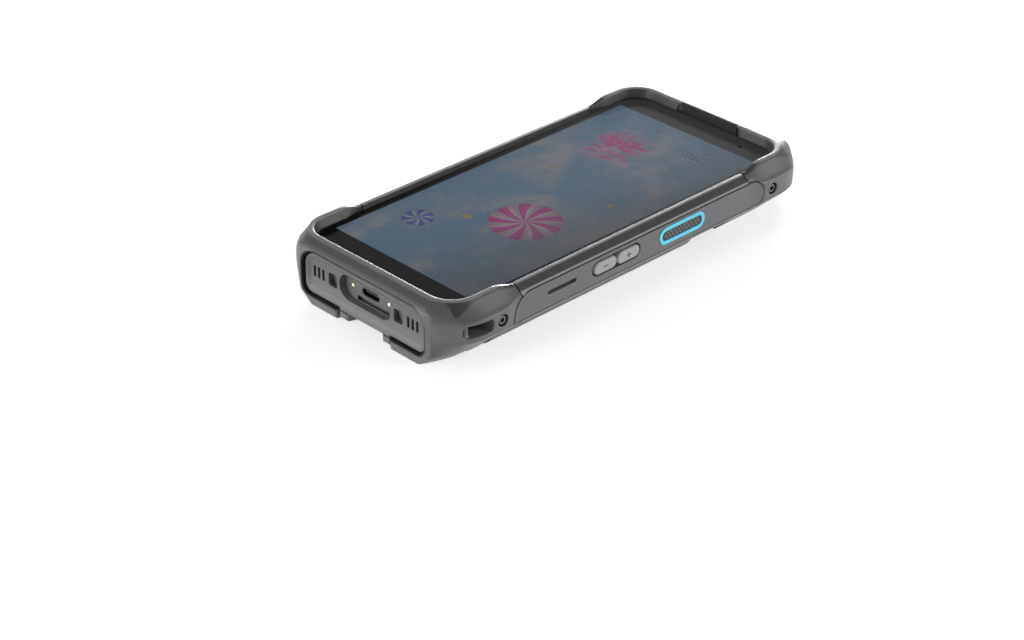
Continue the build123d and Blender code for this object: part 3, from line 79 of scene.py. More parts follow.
class Sheet:
    """A node tree being drawn, with short ways to add and join its nodes."""

    def __init__(self, tree: bpy.types.NodeTree) -> None:
        """Takes the tree that the nodes go into."""
        self.tree = tree

    def node(self, kind: str, **settings: object) -> Node:
        """Adds a node.

        Args:
            kind: The node's type, without its ShaderNode prefix.
            **settings: Values for the node's own properties.

        Returns:
            The new node.
        """
        node = self.tree.nodes.new("ShaderNode" + kind)
        for name, value in settings.items():
            setattr(node, name, value)
        return node

    def feed(self, target: Socket, value: object) -> None:
        """Links a socket to the target, or writes a plain value on it."""
        if isinstance(value, Socket):
            self.tree.links.new(value, target)
        else:
            target.default_value = value

    def math(self, operation: str, first: object, second: object = 0.0) -> Socket:
        """Adds a Math node.

        Args:
            operation: The node's operation.
            first: A socket or a number.
            second: A socket or a number, where the operation takes two.

        Returns:
            Its result.
        """
        node = self.node("Math", operation=operation)
        self.feed(node.inputs[0], first)
        self.feed(node.inputs[1], second)
        return node.outputs[0]

    def times(self, first: object, second: object) -> Socket:
        """Product of two sockets or numbers."""
        return self.math("MULTIPLY", first, second)

    def over(self, first: object, second: object) -> Socket:
        """The first divided by the second."""
        return self.math("DIVIDE", first, second)

    def plus(self, first: object, second: object) -> Socket:
        """Sum of two sockets or numbers."""
        return self.math("ADD", first, second)

    def minus(self, first: object, second: object) -> Socket:
        """The first less the second."""
        return self.math("SUBTRACT", first, second)

    def absolute(self, value: object) -> Socket:
        """The value without its sign."""
        return self.math("ABSOLUTE", value)

    def sine(self, value: object) -> Socket:
        """Sine of an angle in radians."""
        return self.math("SINE", value)

    def length(self, first: object, second: object) -> Socket:
        """Length of the side across from a right angle between two others."""
        return self.math("SQRT", self.plus(self.times(first, first), self.times(second, second)))

    def window(self, value: object, low: float, high: float, fade: float) -> Socket:
        """1 from low to high, falling to 0 over the fade on either side."""
        return self.times(self.span(value, low - fade, low), self.span(value, high + fade, high))

    def split(self, vector: object) -> tuple[Socket, Socket, Socket]:
        """The X, Y and Z parts of a vector."""
        node = self.node("SeparateXYZ")
        self.feed(node.inputs[0], vector)
        return tuple(node.outputs)

    def vector(self, operation: str, first: object, second: object = (0, 0, 0),
               scale: object = 1.0) -> Node:
        """Adds a Vector Math node and returns it."""
        node = self.node("VectorMath", operation=operation)
        self.feed(node.inputs[0], first)
        self.feed(node.inputs[1], second)
        if operation == "SCALE":
            self.feed(node.inputs["Scale"], scale)
        return node

    def noise(self, vector: object, scale: object, detail: float, roughness: float) -> Socket:
        """Adds a Noise Texture and returns its grey value."""
        node = self.node("TexNoise")
        self.feed(node.inputs["Vector"], vector)
        self.feed(node.inputs["Scale"], scale)
        node.inputs["Detail"].default_value = detail
        node.inputs["Roughness"].default_value = roughness
        return node.outputs["Fac"]

    def blend(self, share: object, low: object, high: object) -> Socket:
        """Mixes two colours and returns the result.

        Args:
            share: 0 for the low colour, 1 for the high one.
            low: A colour of three or four numbers, or a socket.
            high: The same.

        Returns:
            The mixed colour.
        """
        node = self.node("Mix", data_type="RGBA")
        self.feed(node.inputs[0], share)
        for socket, value in ((node.inputs[6], low), (node.inputs[7], high)):
            if isinstance(value, tuple):
                value = (*value[:3], 1.0)
            self.feed(socket, value)
        return node.outputs[2]

    def span(self, value: object, low: float, high: float, start: float = 0.0, end: float = 1.0) -> Socket:
        """Maps low..high to start..end smoothly, held at both ends."""
        node = self.node("MapRange", interpolation_type="SMOOTHSTEP")
        self.feed(node.inputs["Value"], value)
        node.inputs["From Min"].default_value = low
        node.inputs["From Max"].default_value = high
        node.inputs["To Min"].default_value = start
        node.inputs["To Max"].default_value = end
        return node.outputs["Result"]


class Pattern(Enum):
    """The patterns that several finishes share, by the name of their node group."""

    GRAIN = "fine_grain"
    CLOUD = "slow_tone"
    HATCH = "slanted_hatch"
    BRUSH = "brushed_streaks"
    SMUDGE = "faint_smudges"


class PatternBook:
    """Builds each shared node group once and places it in materials."""

    def __init__(self) -> None:
        """Starts with no group built."""
        self.groups: dict[Pattern, bpy.types.NodeTree] = {}

    def place(self, sheet: Sheet, pattern: Pattern, **values: object) -> Node:
        """Puts a pattern into a material.

        Args:
            sheet: The material's sheet.
            pattern: Which pattern.
            **values: A socket or number for each input, with its name in lower case.

        Returns:
            The group node.
        """
        if pattern not in self.groups:
            self.groups[pattern] = self._build(pattern)
        node = sheet.node("Group")
        node.node_tree = self.groups[pattern]
        for name, value in values.items():
            sheet.feed(node.inputs[name.capitalize()], value)
        return node

    def _build(self, pattern: Pattern) -> bpy.types.NodeTree:
        """Makes the group's sockets and calls the method that draws its inside."""
        inputs, outputs, draw = {
            Pattern.GRAIN: (("Size",), ("Height", "Speckle"), self._grain),
            Pattern.CLOUD: (("Size",), ("Shade",), self._cloud),
            Pattern.HATCH: (("Pitch", "Slant"), ("Line",), self._hatch),
            Pattern.BRUSH: (("Size",), ("Streak",), self._brush),
            Pattern.SMUDGE: (("Size",), ("Film",), self._smudge),
        }[pattern]
        tree = bpy.data.node_groups.new(pattern.value, "ShaderNodeTree")
        tree.interface.new_socket("Vector", in_out="INPUT", socket_type="NodeSocketVector")
        for name in inputs:
            tree.interface.new_socket(name, in_out="INPUT", socket_type="NodeSocketFloat")
        for name in outputs:
            tree.interface.new_socket(name, in_out="OUTPUT", socket_type="NodeSocketFloat")
        sheet = Sheet(tree)
        source = tree.nodes.new("NodeGroupInput")
        result = tree.nodes.new("NodeGroupOutput")
        for name, socket in draw(sheet, source).items():
            sheet.feed(result.inputs[name], socket)
        return tree

    @staticmethod
    def _scaled(sheet: Sheet, source: Node) -> Socket:
        """The vector in units of the group's Size."""
        scale = sheet.over(1.0, source.outputs["Size"])
        return sheet.vector("SCALE", source.outputs["Vector"], scale=scale).outputs[0]

    def _grain(self, sheet: Sheet, source: Node) -> dict[str, Socket]:
        """Pebbled grain of a moulded surface."""
        place = self._scaled(sheet, source)
        pebbles = sheet.noise(place, 1.0, detail=2.0, roughness=0.55)
        specks = sheet.noise(place, 1.7, detail=1.0, roughness=0.6)
        return {"Height": pebbles, "Speckle": sheet.span(specks, 0.3, 0.7)}

    def _cloud(self, sheet: Sheet, source: Node) -> dict[str, Socket]:
        """Slow change of tone over a large face."""
        shade = sheet.noise(self._scaled(sheet, source), 1.0, detail=3.0, roughness=0.6)
        return {"Shade": sheet.span(shade, 0.25, 0.75)}

    def _hatch(self, sheet: Sheet, source: Node) -> dict[str, Socket]:
        """Fine parallel lines that lean along a side face."""
        _, y, z = sheet.split(source.outputs["Vector"])
        leaning = sheet.plus(y, sheet.times(z, source.outputs["Slant"]))
        along = sheet.over(leaning, source.outputs["Pitch"])
        wave = sheet.sine(sheet.times(along, math.tau))
        return {"Line": sheet.span(wave, -0.6, 0.6)}

    def _brush(self, sheet: Sheet, source: Node) -> dict[str, Socket]:
        """Streaks left by brushing along Y."""
        stretched = sheet.vector("MULTIPLY", self._scaled(sheet, source), (1.0, 0.04, 1.0)).outputs[0]
        return {"Streak": sheet.noise(stretched, 1.0, detail=4.0, roughness=0.7)}

    def _smudge(self, sheet: Sheet, source: Node) -> dict[str, Socket]:
        """Faint film of handling on glass and gloss."""
        place = self._scaled(sheet, source)
        broad = sheet.noise(place, 1.0, detail=3.0, roughness=0.7)
        fine = sheet.noise(place, 6.0, detail=2.0, roughness=0.6)
        return {"Film": sheet.times(sheet.span(broad, 0.45, 0.75), sheet.span(fine, 0.2, 0.8))}


patterns = PatternBook()


# --------------------------------------------------------------------------------------------
# Finishes
# --------------------------------------------------------------------------------------------


class Surface(Sheet):
    """The node tree of a new material, with its Principled BSDF and its Object coordinates."""

    def __init__(self, name: str) -> None:
        """Starts the material with the given name."""
        self.material = bpy.data.materials.new(name)
        self.material.use_nodes = True
        super().__init__(self.material.node_tree)
        self.shader = self.tree.nodes["Principled BSDF"]
        self.place = self.node("TexCoord").outputs["Object"]

    def set(self, name: str, value: object) -> None:
        """Links a socket to an input of the shader, or writes a plain value on it."""
        self.feed(self.shader.inputs[name], value)

    def film(self, size_mm: float) -> Socket:
        """Faint smudges of about the given size."""
        return patterns.place(self, Pattern.SMUDGE, vector=self.place, size=size_mm * MM).outputs["Film"]

    def tone(self, size_mm: float) -> Socket:
        """Slow change of tone over about the given size."""
        return patterns.place(self, Pattern.CLOUD, vector=self.place, size=size_mm * MM).outputs["Shade"]


def tinted(colour: Colour, factor: float) -> Colour:
    """The colour made darker or lighter by a factor."""
    return tuple(min(1.0, part * factor) for part in colour)


def soft_edges(sheet: Sheet, edge_mm: float) -> Socket:
    """Normal that rounds the edges of a surface by a radius."""
    bevel = sheet.node("Bevel", samples=10)
    sheet.feed(bevel.inputs["Radius"], edge_mm * MM)
    return bevel.outputs["Normal"]


def relief(sheet: Sheet, height: Socket, strength: float, depth_mm: float, edge_mm: float) -> Socket:
    """Normal of a surface with fine relief and rounded edges.

    Args:
        sheet: The material's sheet.
        height: The relief, 0 to 1.
        strength: Share of the relief that shows.
        depth_mm: Depth of the relief.
        edge_mm: Radius of the rounded edges.

    Returns:
        The normal.
    """
    bump = sheet.node("Bump")
    sheet.feed(bump.inputs["Strength"], strength)
    sheet.feed(bump.inputs["Distance"], depth_mm * MM)
    sheet.feed(bump.inputs["Height"], height)
    sheet.feed(bump.inputs["Normal"], soft_edges(sheet, edge_mm))
    return bump.outputs["Normal"]


# Painted shade: the dark of gaps at joints and in screw bores, painted on the surfaces beside and inside
# them.
SEAM_SHADE = (0.004, 0.004, 0.004)


@dataclass(frozen=True)
class Patch:
    """A stretch of a moulding painted in another colour, each one here a painted highlight or a painted
    shade.
    """

    colour: Colour
    x_mm: Span | None = None
    y_mm: Span | None = None
    z_mm: Span | None = None
    fade_mm: float = 0.25


@dataclass(frozen=True)
class EndSeam:
    """Painted shade of the joint round an end panel: a dark line along a rounded rectangle seen along Y.
    """

    half_width_mm: float
    low_mm: float
    high_mm: float
    towards: float
    low_corner_mm: float = 4.25
    high_corner_mm: float = 6.75
    breadth_mm: float = 0.8
    blur_mm: float = 0.08
    from_mm: Span = (87.0, 87.4)

    def share(self, sheet: Sheet, across: Socket, along: Socket, height: Socket) -> Socket:
        """1 on the joint, 0 off it.

        Args:
            sheet: The material's sheet.
            across: Distance from the middle plane, in millimetres.
            along: Place along the terminal, in millimetres.
            height: Place above the floor, in millimetres.

        Returns:
            The share.
        """
        middle = 0.5 * (self.low_mm + self.high_mm)
        upper = sheet.math("GREATER_THAN", height, middle)
        growth = sheet.times(upper, self.high_corner_mm - self.low_corner_mm)
        corner = sheet.plus(growth, self.low_corner_mm)
        reach_x = sheet.minus(self.half_width_mm, corner)
        reach_z = sheet.minus(0.5 * (self.high_mm - self.low_mm), corner)
        rise = sheet.absolute(sheet.minus(height, middle))
        past_x = sheet.math("MAXIMUM", sheet.minus(across, reach_x), 0.0)
        past_z = sheet.math("MAXIMUM", sheet.minus(rise, reach_z), 0.0)
        off_line = sheet.absolute(sheet.minus(sheet.length(past_x, past_z), corner))
        half = 0.5 * self.breadth_mm
        line = sheet.span(off_line, half + self.blur_mm, half - self.blur_mm)
        return sheet.times(line, sheet.span(sheet.times(along, self.towards), *self.from_mm))


@dataclass(frozen=True)
class Moulded:
    """Moulded plastic or rubber with a pebbled grain, with painted highlights and painted shade laid on by
    its patches, seams and hollow shading.
    """

    name: str
    colour: Colour
    roughness: float = 0.55
    grain_mm: float = 0.45
    depth_mm: float = 0.03
    variation: float = 0.10
    edge_mm: float = 0.3
    rough_spread: float = 0.08
    cloud_mm: float = 38.0
    sheen: float = 0.0
    # Painted shade: reach of the ambient occlusion that darkens hollows, how it maps to darkening, and the
    # darkest tint.
    hollow_shade_mm: float = 0.0
    hollow_shade_span: Span = (0.12, 0.80)
    hollow_shade_tint: float = 0.12
    patches: tuple[Patch, ...] = ()
    seams: tuple[EndSeam, ...] = ()

    def material(self) -> Material:
        """Builds the material and returns it."""
        sheet = Surface(self.name)
        grain = patterns.place(sheet, Pattern.GRAIN, vector=sheet.place, size=self.grain_mm * MM)
        low = tinted(self.colour, 1 - self.variation)
        high = tinted(self.colour, 1 + self.variation)
        slow = sheet.blend(sheet.tone(self.cloud_mm), low, high)
        fleck = sheet.times(grain.outputs["Speckle"], 0.5)
        shown = sheet.blend(fleck, slow, tinted(self.colour, 1 + 2 * self.variation))
        shown = self._patched(sheet, shown)
        # Painted shade: the colour darkens in hollows and holes by ambient occlusion.
        if self.hollow_shade_mm:
            hollow = sheet.node("AmbientOcclusion", samples=8)
            sheet.feed(hollow.inputs["Distance"], self.hollow_shade_mm * MM)
            open_share = sheet.span(hollow.outputs["AO"], *self.hollow_shade_span)
            shown = sheet.blend(open_share, tinted(self.colour, self.hollow_shade_tint), shown)
        sheet.set("Base Color", shown)
        low, high = self.roughness - self.rough_spread, self.roughness + self.rough_spread
        sheet.set("Roughness", sheet.span(grain.outputs["Speckle"], 0, 1, low, high))
        sheet.set("Normal", relief(sheet, grain.outputs["Height"], 0.6, self.depth_mm, self.edge_mm))
        sheet.set("Sheen Weight", self.sheen)
        return sheet.material

    def _patched(self, sheet: Surface, under: Socket) -> Socket:
        """Lays the patches' painted highlights and shade, and the painted shade of the joints, over the
        colour, the same on both sides of the terminal.

        Args:
            sheet: The material's sheet.
            under: The colour under them.

        Returns:
            The colour with them.
        """
        x, y, z = sheet.split(sheet.place)
        across, along, height = sheet.absolute(sheet.over(x, MM)), sheet.over(y, MM), sheet.over(z, MM)
        # Each patch is a painted highlight or a painted shade.
        for patch in self.patches:
            share = None
            for run, span in ((across, patch.x_mm), (along, patch.y_mm), (height, patch.z_mm)):
                if span is None:
                    continue
                inside = sheet.window(run, *span, patch.fade_mm)
                share = inside if share is None else sheet.times(share, inside)
            under = sheet.blend(share, under, patch.colour)
        # Painted shade along the joints round the end panels.
        for seam in self.seams:
            under = sheet.blend(seam.share(sheet, across, along, height), under, SEAM_SHADE)
        return under


@dataclass(frozen=True)
class Hatched:
    """Grip rubber with fine slanted lines."""

    name: str
    colour: Colour
    pitch_mm: float = 0.72
    slant: float = 1.0
    groove_tint: float = 0.60
    ridge_tints: Span = (1.15, 1.30)
    cloud_mm: float = 30.0
    depth_mm: float = 0.06
    edge_mm: float = 0.3

    def material(self) -> Material:
        """Builds the material and returns it."""
        sheet = Surface(self.name)
        pitch = self.pitch_mm * MM
        hatch = patterns.place(sheet, Pattern.HATCH, vector=sheet.place, pitch=pitch, slant=self.slant)
        line = hatch.outputs["Line"]
        low, high = (tinted(self.colour, tint) for tint in self.ridge_tints)
        ridge = sheet.blend(sheet.tone(self.cloud_mm), low, high)
        groove = tinted(self.colour, self.groove_tint)
        sheet.set("Base Color", sheet.blend(line, groove, ridge))
        sheet.set("Roughness", sheet.span(line, 0, 1, 0.65, 0.5))
        sheet.set("Normal", relief(sheet, line, 0.4, self.depth_mm, self.edge_mm))
        return sheet.material


@dataclass(frozen=True)
class Gloss:
    """Glossy plastic or coated glass that nothing is seen through."""

    name: str
    colour: Colour
    roughness: float = 0.12
    coat: float = 0.6
    level: float = 0.5
    edge_mm: float = 0.2
    smudged: float = 0.10

    def material(self) -> Material:
        """Builds the material and returns it."""
        sheet = Surface(self.name)
        film = sheet.film(22.0)
        sheet.set("Base Color", sheet.blend(film, self.colour, tinted(self.colour, 1.35)))
        sheet.set("Roughness", sheet.span(film, 0, 1, self.roughness, self.roughness + self.smudged))
        sheet.set("Normal", soft_edges(sheet, self.edge_mm))
        sheet.set("Specular IOR Level", self.level)
        sheet.set("Coat Weight", self.coat)
        sheet.set("Coat Roughness", 0.04)
        return sheet.material


@dataclass(frozen=True)
class Metal:
    """Brushed or polished metal."""

    name: str
    colour: Colour
    roughness: float = 0.3
    streaks: float = 0.12
    edge_mm: float = 0.12

    def material(self) -> Material:
        """Builds the material and returns it."""
        sheet = Surface(self.name)
        brush = patterns.place(sheet, Pattern.BRUSH, vector=sheet.place, size=0.25 * MM)
        streak = brush.outputs["Streak"]
        shown = sheet.blend(streak, tinted(self.colour, 0.82), tinted(self.colour, 1.1))
        sheet.set("Base Color", shown)
        low, high = self.roughness - self.streaks, self.roughness + self.streaks
        sheet.set("Roughness", sheet.span(streak, 0.2, 0.8, low, high))
        sheet.set("Normal", soft_edges(sheet, self.edge_mm))
        sheet.set("Metallic", 1.0)
        return sheet.material


@dataclass(frozen=True)
class LensGlass:
    """Dark coated lens with its barrel rings showing round a centre."""

    name: str
    centre_mm: Span
    radius_mm: float
    tint: Colour = (0.025, 0.04, 0.09)
    surround: Colour = (0.008, 0.008, 0.009)
    ring: Colour = (0.09, 0.09, 0.095)

    def material(self) -> Material:
        """Builds the material and returns it."""
        sheet = Surface(self.name)
        x, y, _ = sheet.split(sheet.place)
        run = sheet.minus(x, self.centre_mm[0] * MM)
        rise = sheet.minus(y, self.centre_mm[1] * MM)
        share = sheet.over(sheet.length(run, rise), self.radius_mm * MM)
        pupil = sheet.span(share, 0.30, 0.36)
        iris = sheet.span(share, 0.60, 0.66)
        barrel = sheet.window(share, 0.74, 0.80, 0.04)
        core = sheet.blend(pupil, tinted(self.tint, 0.2), self.tint)
        shown = sheet.blend(barrel, sheet.blend(iris, core, self.surround), self.ring)
        sheet.set("Base Color", shown)
        sheet.set("Roughness", sheet.span(sheet.film(9.0), 0, 1, 0.05, 0.12))
        sheet.set("Specular IOR Level", 0.4)
        return sheet.material


@dataclass(frozen=True)
class ClearWindow:
    """Tinted pane that the scan engine looks out through."""

    name: str
    colour: Colour

    def material(self) -> Material:
        """Builds the material and returns it."""
        sheet = Surface(self.name)
        film = sheet.film(9.0)
        sheet.set("Base Color", sheet.blend(film, self.colour, tinted(self.colour, 1.2)))
        sheet.set("Roughness", sheet.span(film, 0, 1, 0.02, 0.06))
        sheet.set("Transmission Weight", 1.0)
        sheet.set("IOR", 1.5)
        return sheet.material


@dataclass(frozen=True)
class Spot:
    """A place on the screen with its reach and colour."""

    x_mm: float
    y_mm: float
    reach_mm: float
    colour: Colour


@dataclass(frozen=True)
class Pinwheel(Spot):
    """A round paper pinwheel of the screen's picture."""

    blades: int
    pale: Colour


class Glass(Surface):
    """The screen's node tree, with places on the glass in millimetres."""

    def __init__(self, name: str) -> None:
        """Starts the material with the given name."""
        super().__init__(name)
        self.place_mm = self.vector("SCALE", self.place, scale=1 / MM).outputs[0]
        self.x, self.y, _ = self.split(self.place_mm)

    def distance(self, spot: Spot) -> Socket:
        """Distance from a spot on the glass, in millimetres."""
        return self.length(self.minus(self.x, spot.x_mm), self.minus(self.y, spot.y_mm))


@dataclass(frozen=True)
class ScreenGlass:
    """Black-bordered cover glass with the lit picture behind it."""

    name: str
    width_mm: float = 68.0
    length_mm: float = 143.6
    middle_y_mm: float = -0.9
    border: Colour = (0.004, 0.004, 0.0045)
    # Painted reflection: the border lightens to this colour at the scan end.
    far_border_reflection: Colour = (0.085, 0.085, 0.086)
    unlit: Colour = (0.004, 0.004, 0.004)
    sky: Colour = (0.060, 0.098, 0.142)
    haze: Colour = (0.135, 0.135, 0.142)
    # Painted shade over part of the picture.
    corner_shade: Colour = (0.052, 0.054, 0.058)
    fringe: Colour = (0.16, 0.15, 0.155)
    windows: tuple[Spot, ...] = (
        Spot(20.8, 76.6, 1.7, (0.085, 0.088, 0.092)),
        Spot(-24.8, 76.6, 0.6, (0.085, 0.088, 0.092)),
        Spot(-22.0, 76.6, 0.9, (0.085, 0.088, 0.092)),
        Spot(-19.2, 76.6, 0.6, (0.085, 0.088, 0.092)),
    )
    pupil: Spot = Spot(20.8, 76.6, 1.0, (0.006, 0.007, 0.012))
    brushed: tuple[Spot, ...] = (
        Spot(-10.0, 44.0, 21.0, (0.19, 0.036, 0.115)),
        Spot(15.0, 58.0, 10.0, (0.040, 0.050, 0.12)),
    )
    pinwheels: tuple[Pinwheel, ...] = (
        Pinwheel(8.0, -22.0, 13.5, (0.21, 0.036, 0.135), 9, (0.20, 0.19, 0.195)),
        Pinwheel(-20.0, -47.0, 6.0, (0.036, 0.055, 0.17), 7, (0.16, 0.165, 0.17)),
        Pinwheel(20.0, -52.0, 4.2, (0.030, 0.14, 0.15), 6, (0.13, 0.15, 0.15)),
    )
    lozenges: tuple[Spot, ...] = (
        Spot(-9.0, -34.0, 3.0, (0.16, 0.12, 0.055)),
        Spot(20.0, 8.0, 2.2, (0.16, 0.12, 0.055)),
        Spot(-16.0, 14.0, 1.8, (0.16, 0.12, 0.055)),
    )

    def material(self) -> Material:
        """Builds the material and returns it."""
        sheet = Glass(self.name)
        picture = self._strokes(sheet, self._sky(sheet))
        for pinwheel in self.pinwheels:
            picture = self._pinwheel(sheet, pinwheel, picture)
        for lozenge in self.lozenges:
            picture = self._lozenge(sheet, lozenge, picture)
        # Painted shade: the picture darkens towards +X and the connector end.
        shaded = sheet.span(sheet.plus(sheet.x, sheet.times(sheet.y, -0.12)), -6.0, 44.0, 0.0, 0.78)
        picture = sheet.blend(shaded, picture, self.corner_shade)
        lit = self._lit_area(sheet)
        sheet.set("Base Color", sheet.blend(lit, self._border(sheet), self.unlit))
        sheet.set("Emission Color", sheet.blend(lit, (0, 0, 0), picture))
        sheet.set("Emission Strength", 1.0)
        sheet.set("Roughness", sheet.span(sheet.film(45.0), 0, 1, 0.14, 0.20))
        sheet.set("Specular IOR Level", 0.16)
        return sheet.material

    def _lit_area(self, sheet: Glass) -> Socket:
        """1 inside the lit rectangle, 0 on the border."""
        across = sheet.math("LESS_THAN", sheet.absolute(sheet.x), self.width_mm / 2)
        along = sheet.absolute(sheet.minus(sheet.y, self.middle_y_mm))
        return sheet.times(across, sheet.math("LESS_THAN", along, self.length_mm / 2))

    def _border(self, sheet: Glass) -> Socket:
        """Printed border with a painted reflection that lightens it towards the scan end, and the faint
        windows of the camera and the sensors.
        """
        # Painted reflection on the border, lighter towards the scan end.
        colour = sheet.blend(sheet.span(sheet.y, -60.0, 85.0), self.border, self.far_border_reflection)
        for window in self.windows:
            colour = self._spot(sheet, window, 0.35, colour)
        return self._spot(sheet, self.pupil, 0.3, colour)

    @staticmethod
    def _spot(sheet: Glass, spot: Spot, fade: float, under: Socket) -> Socket:
        """A round spot with a soft rim laid over the glass."""
        inside = sheet.span(sheet.distance(spot), spot.reach_mm, spot.reach_mm - fade)
        return sheet.blend(inside, under, spot.colour)

    def _sky(self, sheet: Glass) -> Socket:
        """Dim blue with soft drifting clouds."""
        flat = sheet.vector("MULTIPLY", sheet.place_mm, (1.0, 0.62, 0.0)).outputs[0]
        broad = sheet.noise(flat, 0.045, detail=6.0, roughness=0.56)
        wisps = sheet.noise(flat, 0.13, detail=5.0, roughness=0.6)
        cover = sheet.plus(sheet.times(broad, 0.75), sheet.times(wisps, 0.25))
        return sheet.blend(sheet.span(cover, 0.44, 0.66), self.sky, self.haze)

    def _strokes(self, sheet: Glass, under: Socket) -> Socket:
        """Patches of broken brush strokes laid over the picture."""
        leaning = sheet.node("Mapping")
        sheet.feed(leaning.inputs["Vector"], sheet.place_mm)
        sheet.feed(leaning.inputs["Rotation"], (0, 0, math.radians(-20)))
        sheet.feed(leaning.inputs["Scale"], (0.16, 0.95, 1.0))
        strokes = sheet.noise(leaning.outputs["Vector"], 1.0, detail=3.0, roughness=0.6)
        for patch in self.brushed:
            reach = patch.reach_mm
            inside = sheet.span(sheet.distance(patch), reach, 0.3 * reach, -0.12, 0.16)
            cover = sheet.plus(strokes, inside)
            under = sheet.blend(sheet.span(cover, 0.54, 0.62, 0.0, 0.55), under, self.fringe)
            under = sheet.blend(sheet.span(cover, 0.60, 0.68), under, patch.colour)
        return under

    @staticmethod
    def _pinwheel(sheet: Glass, wheel: Pinwheel, under: Socket) -> Socket:
        """A round pinwheel in two colours laid over the picture."""
        distance = sheet.distance(wheel)
        run, rise = sheet.minus(sheet.x, wheel.x_mm), sheet.minus(sheet.y, wheel.y_mm)
        turn = sheet.times(sheet.math("ARCTAN2", rise, run), wheel.blades)
        swirl = sheet.plus(turn, sheet.times(distance, 2.4 / wheel.reach_mm))
        blades = sheet.blend(sheet.span(sheet.sine(swirl), -0.2, 0.2), wheel.colour, wheel.pale)
        fold = sheet.span(sheet.sine(sheet.plus(swirl, 1.1)), -1.0, 1.0, 0.0, 0.35)
        blades = sheet.blend(fold, blades, tinted(wheel.colour, 0.45))
        rim = sheet.span(distance, 0.5 * wheel.reach_mm, wheel.reach_mm, 0.0, 0.4)
        shaded = sheet.blend(rim, blades, tinted(wheel.colour, 0.5))
        return sheet.blend(sheet.span(distance, wheel.reach_mm, wheel.reach_mm - 0.4), under, shaded)

    @staticmethod
    def _lozenge(sheet: Glass, spot: Spot, under: Socket) -> Socket:
        """A small lozenge laid over the picture."""
        across = sheet.absolute(sheet.minus(sheet.x, spot.x_mm))
        along = sheet.absolute(sheet.minus(sheet.y, spot.y_mm))
        span = sheet.plus(across, sheet.times(along, 1.6))
        return sheet.blend(sheet.span(span, spot.reach_mm, spot.reach_mm - 0.4), under, spot.colour)


def at_both_ends(colour: Colour, y_mm: Span, **limits: object) -> tuple[Patch, Patch]:
    """The same patch at the scan end and at the connector end."""
    low, high = y_mm
    return Patch(colour, y_mm=y_mm, **limits), Patch(colour, y_mm=(-high, -low), **limits)


# Painted highlight on the rims of the bumpers' end faces.
EDGE_HIGHLIGHT = (0.150, 0.150, 0.152)
# Painted shade on the inner walls of the bumpers' lips.
LIP_SHADE = (0.034, 0.034, 0.035)
# Painted shade of the joints round the two end panels.
END_SEAMS = (EndSeam(31.2, 3.7, 20.7, towards=1.0), EndSeam(31.2, 3.7, 21.5, towards=-1.0))
RUBBER = Moulded("bumper_rubber", (0.088, 0.088, 0.090), roughness=0.45, grain_mm=0.55, depth_mm=0.05,
                 edge_mm=0.05, sheen=0.08, seams=END_SEAMS, patches=(
    # Painted highlight: paler rim round each end face.
    *at_both_ends(EDGE_HIGHLIGHT, (90.45, 92.0), x_mm=(0.0, 33.5), fade_mm=0.35),
    # Painted shade: darker inner walls of the lips at both ends.
    Patch(LIP_SHADE, x_mm=(0.0, 39.3), y_mm=(56.0, 82.5), z_mm=(20.4, 24.1), fade_mm=0.4),
    Patch(LIP_SHADE, x_mm=(0.0, 39.3), y_mm=(-84.4, -56.0), z_mm=(20.4, 24.1), fade_mm=0.4),
    # Painted highlight: lighter band along the upright sides.
    Patch((0.135, 0.135, 0.137), z_mm=(12.5, 16.8), fade_mm=2.6),
    # Painted highlight: lighter band along the top of the lip.
    Patch((0.19, 0.19, 0.195), z_mm=(24.4, 25.2)),
    # Painted shade: a dark strip across the middle of the scan end's lip, dark lines at the joints with
    # the rail, and dark bores of the side screws.
    Patch(SEAM_SHADE, x_mm=(0.0, 13.7), y_mm=(81.9, 84.2), z_mm=(20.5, 25.0), fade_mm=0.1),
    *at_both_ends(SEAM_SHADE, (57.0, 57.75), x_mm=(37.0, 43.3), z_mm=(18.0, 25.0), fade_mm=0.1),
    Patch(SEAM_SHADE, x_mm=(39.0, 43.45), y_mm=(66.6, 71.4), z_mm=(12.0, 17.0), fade_mm=0.1),
    Patch(SEAM_SHADE, x_mm=(39.0, 43.45), y_mm=(-69.8, -65.0), z_mm=(12.0, 17.0), fade_mm=0.1)))
RAIL = Moulded("rail_plastic", (0.050, 0.050, 0.052), roughness=0.42, patches=(
    # Painted highlights: lighter bands along the top lip, the crease above the grip and the lower crease.
    Patch((0.20, 0.20, 0.205), z_mm=(22.35, 23.0)),
    Patch((0.30, 0.30, 0.305), z_mm=(19.5, 20.35)),
    Patch((0.23, 0.23, 0.235), z_mm=(8.3, 9.7))))
# Painted shade darkens its holes and hollows by ambient occlusion.
PANEL = Moulded("panel_plastic", (0.125, 0.125, 0.128), roughness=0.45, hollow_shade_mm=2.6, seams=END_SEAMS,
                patches=(
    # Painted light: the lower part of the panel is lighter, fading upwards.
    Patch((0.185, 0.185, 0.188), z_mm=(3.0, 8.0), fade_mm=5.0),))
HOUSING = Moulded("housing_plastic", (0.040, 0.040, 0.042), roughness=0.5)
PACK = Moulded("battery_plastic", (0.062, 0.062, 0.064), roughness=0.38, depth_mm=0.02, edge_mm=0.5,
               patches=(
    # Painted highlight: lighter band along the pack's sides at its shoulders.
    Patch((0.105, 0.105, 0.107), x_mm=(28.6, 35.5), fade_mm=0.3),))
GRIP = Hatched("grip_rubber", (0.165, 0.165, 0.172))
KEY = Moulded("key_plastic", (0.38, 0.38, 0.385), roughness=0.4, depth_mm=0.01, variation=0.04)
KNURL = Moulded("trigger_rubber", (0.030, 0.030, 0.031), roughness=0.45, depth_mm=0.01)
KNURL_TIP = Moulded("trigger_tips", (0.16, 0.16, 0.163), roughness=0.4, depth_mm=0.01)
